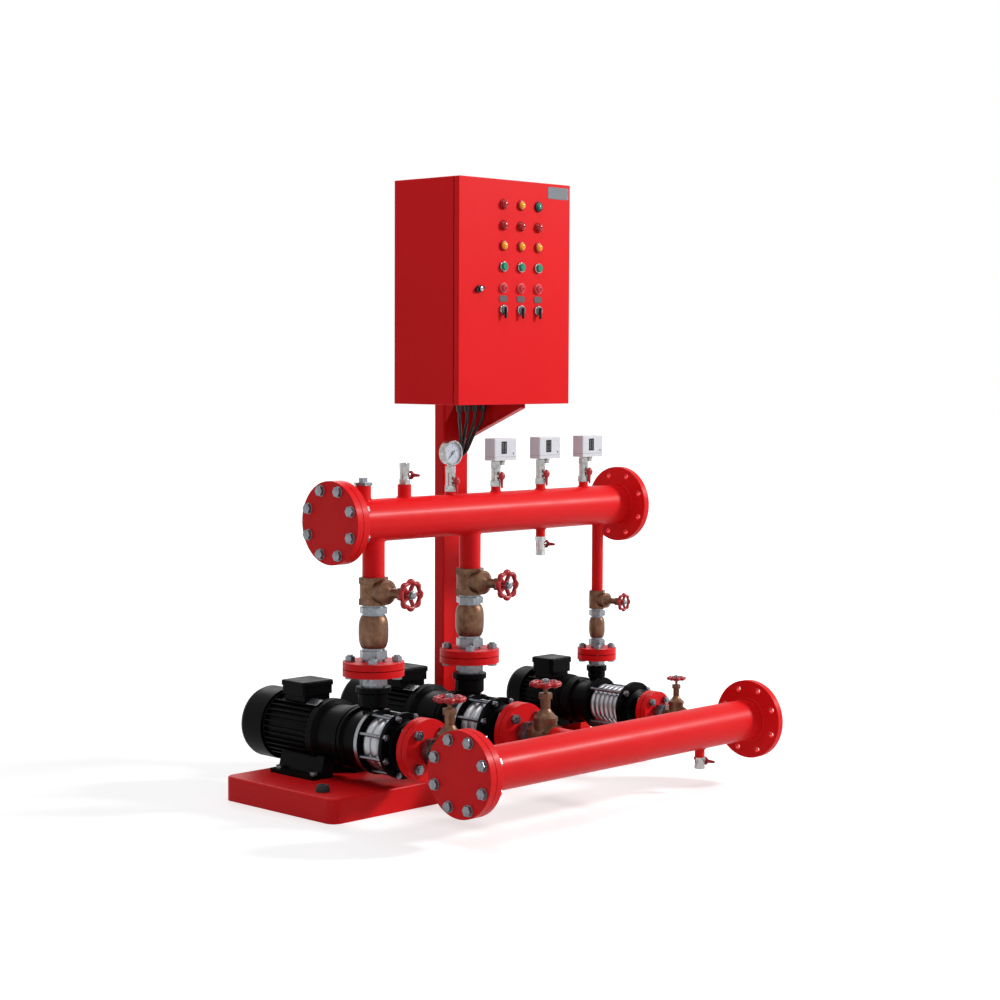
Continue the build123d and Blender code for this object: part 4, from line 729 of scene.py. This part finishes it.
# %% Check valve barrels
shares = ((0.0, 0.79), (0.03, 0.84), (0.11, 0.915), (0.2, 0.965), (0.3, 0.992), (0.4, 1.0), (0.6, 1.0),
          (0.7, 0.992), (0.8, 0.965), (0.89, 0.915), (0.97, 0.84), (1.0, 0.79))
barrels = []
for x, pump in pumps:
    low, length, radius = pump["check"]
    bore = pump["pipe"] + 0.2
    curve = [(radius * wide, length * high) for high, wide in shares]
    outline = [(bore, 0), *curve, (bore, length)]
    barrels.append((stand((x, discharge_y, low)), lathe(outline, 72, True)))
show("check_valve_barrels", barrels, "sand_cast_bronze", "root", ["check_valve_bodies"])
print("check valves", len(barrels))

# %% [markdown]
# Each pump stage is a stainless ring with a rounded belly. The rings are drawn as one turned outline
# that swells once for every stage, and stand for the plainer rings of the CAD model.

# %% Stainless stages
belly_depth = 8.0
rings = []
for x, pump in pumps:
    belly = []
    for step in range(pump["stages"] * 10 + 1):
        swell = abs(math.sin(math.pi * step / 10)) ** 0.7
        belly.append((pump["stage_r"] - belly_depth * (1.0 - swell), step * pump["pitch"] / 10))
    outline = [(pump["inner"], 0), *belly, (pump["inner"], pump["stages"] * pump["pitch"])]
    rings.append((stand((x, pump["stage_y"], shaft_z), to_front), lathe(outline, 96, True)))
show("stage_rings", rings, "pressed_stainless_steel", "root", ["stage_casings"])
print("stage rings", sum(pump["stages"] for x, pump in pumps))

# %% [markdown]
# Welded pipes show a rope of weld metal where one meets another, and paint does not hide it. The bead
# follows the curve on which the two cylinders cross, and its thickness ripples about every 4 mm, as a
# welder's hand does. On the flanges the bead is a plain ring.

# %% Weld beads
def ripple(count, size):
    """A thickness for each point of a bead."""
    return [size * (1 + 0.10 * math.sin(2.1 * i) + 0.05 * math.sin(0.7 * i)) for i in range(count)]


def saddle(origin, radius, up, side):
    """The bead where a branch of that radius leaves a header that runs along X."""
    count = max(24, round(math.tau * radius / 2.6))
    path = []
    for x, y in circle(count, radius + 0.8):
        rise = math.sqrt(header_r ** 2 - y * y) + 0.4
        path.append(Vector(origin) + Vector((x, 0, 0)) + y * Vector(side) + rise * Vector(up))
    return tube(path, ripple(count, 2.6), 8, True)


flat = Matrix.Scale(mm, 4)
beads = []
for x, radius in ((-436, 21), (-287, 18.5), (-113.5, 13.5), (65, 13.5), (249, 13.5), (433, 13.5)):
    beads.append((flat, saddle((x, discharge_y, discharge_z), radius, to_top, to_rear)))
beads.append((flat, saddle((250, discharge_y, discharge_z), 13.5, to_floor, to_rear)))
beads.append((flat, saddle((365, suction_y, shaft_z), 13.5, to_floor, to_rear)))
for x, pump in pumps:
    beads.append((flat, saddle((x, discharge_y, discharge_z), pump["pipe"], to_floor, to_rear)))
    beads.append((flat, saddle((x, suction_y, shaft_z), pump["pipe"], to_rear, to_top)))
for y, z, near, far in ((suction_y, shaft_z, -531, 579), (discharge_y, discharge_z, -511, 582)):
    for face, out in ((near, 1), (far, -1)):
        ring = [(face + 2.2 * out, y + over, z + up) for over, up in circle(140, header_r + 2.2)]
        beads.append((flat, tube(ring, ripple(140, 3.4), 8, True)))
show("weld_beads", beads, "sprayed_red_enamel", "root")
print("weld beads", len(beads))

# %% [markdown]
# Bolt heads from a CAD model are bare prisms. Real ones have a washer under them and a turned
# chamfer on top, so each head on the end flanges gets a washer ring and a low crown.

# %% Washers and crowns of the flange bolts
washers = []
crown = lathe([(0, 10.7), (9.8, 10.7), (11.2, 10.2), (11.6, 9.4), (11.6, 8.0)], 32)
washer = lathe([(8.2, 0.05), (15.0, 0.05), (15.0, 2.2), (14.6, 2.6), (8.2, 2.6)], 32, True)
for y, z, near in ((suction_y, shaft_z, -573), (discharge_y, discharge_z, -553)):
    for over, up in circle(8, 90, 22.5):
        at = stand((near, y + over, z + up), to_left)
        washers += [(at, crown), (at, washer)]
show("flange_washers", washers, "bright_zinc_plate", "root")
print("washers", len(washers) // 2)

# %% [markdown]
# The gauge is read through a flat glass over an enamelled dial. The scale runs through 270 degrees
# from the lower left, as on any such gauge. Marks and numbers are thin raised print, so that they
# stay sharp at any distance. The glass refracts only the rays that are seen, and lets the light that
# falls on the dial through as it is.

# %% Gauge dial and glass
gauge = stand((-113.5, discharge_y, 937.15), to_front, to_right)
dial_radius, dial_top, needle_hole = 29.9, 7.3, 2.1
glass_low, glass_high = 11.5, 12.4
first_angle, sweep = 225, 270
tree, where = start("white_dial_enamel")
flow = add(tree, "TexNoise", {"Scale": per(12), "Detail": 2.0}, {"Vector": where})
gloss = add(tree, "MapRange", {"To Min": 0.35, "To Max": 0.5}, {"Value": flow.outputs["Fac"]})
enamel = add(tree, "BsdfPrincipled", {"Base Color": linear("#BCC1D0"), "Specular IOR Level": 0.2},
             {"Roughness": gloss.outputs[0]})
finish(tree, enamel)
tree, where = start("clear_gauge_glass")
clear = add(tree, "BsdfGlass", {"IOR": 1.45, "Roughness": 0.0})
through = add(tree, "BsdfTransparent")
glass = add(tree, "MixShader", (), {0: seen_rays(tree), 1: through.outputs[0], 2: clear.outputs[0]})
finish(tree, glass)
dial = lathe([(needle_hole, 7.02), (dial_radius, 7.02), (dial_radius, dial_top), (needle_hole, dial_top)],
             64, True)
show("gauge_dial", [(gauge, dial)], "white_dial_enamel")
pane = lathe([(0, glass_low), (dial_radius, glass_low), (dial_radius, glass_high), (0, glass_high)], 64)
show("gauge_glass", [(gauge, pane)], "clear_gauge_glass")
print("dial", 2 * dial_radius, "mm wide")

# %% [markdown]
# The long marks stand at the numbers, middle ones halfway and fine ones between. Each number is a
# text curve that is turned into a mesh, so that it can be placed as any other piece.

# %% Gauge marks and numbers
marks = []
mark_end, number_ring, print_top = 28.5, 17.5, 7.36
for step in range(41):
    angle = math.radians(first_angle - sweep * step / 40)
    low, wide = 26.2, 0.35
    if step % 5 == 0:
        low, wide = 25.0, 0.6
    if step % 10 == 0:
        low, wide = 22.5, 0.9
    turn = Matrix.Rotation(angle, 4, "Z") @ Matrix.Translation(((low + mark_end) / 2, 0, dial_top))
    marks.append((gauge @ turn, slab(mark_end - low, wide, 0.12, wide * 0.3, 0.04)))
show("gauge_marks", marks, "moulded_black_nylon")
for step, text in enumerate(("0", "4", "8", "12", "16")):
    angle = math.radians(first_angle - sweep * step / 4)
    letters = bpy.data.curves.new(f"number_{step}", "FONT")
    letters.body = text
    letters.size = 6.2
    letters.extrude = 0.06
    letters.align_x, letters.align_y = "CENTER", "CENTER"
    holder = bpy.data.objects.new("holder", letters)
    scene.collection.objects.link(holder)
    bpy.context.view_layer.update()
    graph = bpy.context.evaluated_depsgraph_get()
    printed = bpy.data.meshes.new_from_object(holder.evaluated_get(graph))
    bpy.data.objects.remove(holder)
    spot = (number_ring * math.cos(angle), number_ring * math.sin(angle), print_top)
    printed.transform(gauge @ Matrix.Translation(spot))
    printed.materials.clear()
    printed.materials.append(finishes["moulded_black_nylon"])
    number = bpy.data.objects.new(f"gauge_number_{step}", printed)
    scene.collection.objects.link(number)
    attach(number, "root")
print("gauge marks", len(marks))

# %% [markdown]
# A pressure switch has a window in its lid over two scales with a pointer each. From a few metres it
# is a dark slot with pale marks. The lid is held by one screw, and its edge shows as a fine groove
# round the box, drawn here as a thin dark line.

# %% Switch windows, lid seams and screws
dark, pale, metal = [], [], []
box_offset, box_half_depth = 18.5, 20.0
screw_head = lathe([(0, 1.1), (2.4, 1.1), (3.2, 0.5), (3.3, 0.02), (0, 0.02)], 24)
for x in switch_x:
    middle, face_y = x + box_offset, discharge_y - box_half_depth
    window = stand((middle - 6, face_y, 947), to_front, to_right)
    dark.append((window, slab(22, 35, 0.6, 2.0)))
    for column in (-5.2, 5.2):
        for row in range(9):
            spot = window @ Matrix.Translation((column, -12 + 3 * row, 0.6))
            pale.append((spot, slab(5.5 if row % 4 == 0 else 3.0, 0.5, 0.08, 0.12, 0.02)))
    seam = stand((middle, discharge_y, 921), to_top, to_right)
    dark.append((seam, slab(90.25, 40.25, 0.5, 4.1, 0.05)))
    metal.append((stand((middle + 32, face_y, 930), to_front, to_right), screw_head))
show("switch_windows", dark, "moulded_black_nylon")
show("switch_scale_marks", pale, "moulded_white_abs")
show("switch_screws", metal, "bright_zinc_plate")
print("switch windows", len(dark) // 2)

# %% [markdown]
# The pilot lamps are replaced whole: a moulded ring, a domed lens and a plastic body behind the door.
# Colour tells their purpose. Rings are dark red, and the green lamp at the top right has a smaller
# lens in a broad black ring.

# %% Pilot lamps
device_x = (103.0, 174.0, 245.0)
lamp_rows = ((1628.0, ("red", "amber", "green")), (1569.5, ("red", "red", "red")),
             (1512.5, ("amber", "amber", "amber")))
lens_radius = {"red": 12.4, "amber": 10.8, "green": 8.0}
red_rings, black_parts, lenses = [], [], {"red": [], "amber": [], "green": []}
cup = lathe([(0, -35.2), (10.0, -35.2), (11.0, -34.0), (11.0, 1.0), (0, 1.0)], 32)
quarter = [math.radians(9 * i) for i in range(10)]
for z, row in lamp_rows:
    for x, colour in zip(device_x, row):
        at = stand((x, door_face, z), to_front, to_right)
        lens = lens_radius[colour]
        rise = lens * 0.7
        ring = lathe([(lens + 0.1, 0.02), (14.75, 0.02), (14.75, 2.8), (14.2, 4.2), (13.2, 5.4),
                      (lens + 0.6, 5.8), (lens + 0.1, 5.4)], 48, True)
        dome = [(lens * math.cos(angle), 5.4 + rise * math.sin(angle)) for angle in quarter]
        ring_parts = black_parts if colour == "green" else red_rings
        ring_parts.append((at, ring))
        lenses[colour].append((at, lathe([(0, 1.0), (lens, 1.0), *dome], 48)))
        black_parts.append((at, cup))
show("lamp_bezels", red_rings, "moulded_dark_red_ring", "door", ["door_lamps"])
show("lamp_cups", black_parts, "moulded_black_nylon", "door")
for colour, parts in lenses.items():
    show(f"lamp_lenses_{colour}", parts, f"dyed_{colour}_acrylic", "door")
print("lamps", sum(len(parts) for parts in lenses.values()))

# %% [markdown]
# Small parts finish the door: a bare grey nameplate, a legend plate above each selector, a dark disc
# in the middle of each stop button, and selectors with a long grip that points down at rest. What
# moves rides on its own body, and the plates ride on the door.

# %% Nameplate, legend plates, stop discs and selectors
plate_x, plate_z = 328.5, 1671.0
stop_face = -120.0
plate_place = stand((plate_x, door_face, plate_z), to_front, to_right)
show("door_nameplate", [(plate_place, slab(87, 34, 0.9, 5.0))], "moulded_grey_abs", "door")
legends = []
disc = lathe([(0, 0.5), (4.6, 0.5), (5.2, 0.3), (5.2, 0.02), (0, 0.02)], 32)
base = lathe([(0, 9.0), (9.4, 9.0), (10.5, 8.0), (10.5, 0.5), (3.0, 0.5), (3.0, -14.0), (0, -14.0)], 40)
for number, x in enumerate(device_x, 1):
    legends.append((stand((x, door_face, 1364.5), to_front, to_right), slab(32, 18, 1.6, 6.0)))
    show(f"stop_disc_{number}", [(stand((x, stop_face, stop_z), to_front), disc)],
         "moulded_red_cap", f"stop_button_{number}")
    at = stand((x, door_face, 1333.0), to_front, to_right)
    grip = at @ Matrix.Translation((0, -7.5, 9.0))
    selector = f"selector_{number}"
    show(f"selector_base_{number}", [(at, base)], "moulded_grey_abs", selector, [selector])
    show(f"selector_grip_{number}", [(grip, slab(6.0, 32, 6.0, 2.9, 1.2))], "moulded_black_nylon", selector)
show("legend_plates", legends, "moulded_brown_grey_abs", "door")
print("legend plates", len(legends))

# %% [markdown]
# Four rivets hold the nameplate, the latch has a bright lock barrel in the middle of its wing, and
# the two big motors carry a bare plate on their fins, which leans as the fins there do.

# %% Rivets, motor plates and the lock barrel
head = lathe([(0, 1.9), (1.2, 1.7), (2.0, 0.9), (2.0, 0.8), (0, 0.8)], 16)
rivets = [(stand((plate_x + side * 38, door_face, plate_z + up * 11), to_front), head)
          for side in (-1, 1) for up in (-1, 1)]
show("plate_rivets", rivets, "bright_zinc_plate", "door")
lean, fin_radius, motor_y = math.radians(28), 96.3, 68.0
out = Vector((-math.sin(lean), 0, math.cos(lean)))
motor_plates = []
for x, pump in pumps[:2]:
    spot = Vector((x, motor_y, shaft_z)) + fin_radius * out
    motor_plates.append((stand(spot, out, to_rear), slab(44, 26, 0.8, 2.0)))
show("motor_plates", motor_plates, "turned_steel")
barrel = lathe([(0, 12.2), (1.0, 12.2), (1.0, 12.9), (5.0, 12.9), (6.2, 12.2), (6.2, 8.0), (0, 8.0)], 32)
show("lock_barrel", [(stand((6.0, door_face, 1389.0), to_front), barrel)], "satin_nickel_plate", "latch")
print("rivets", len(rivets))
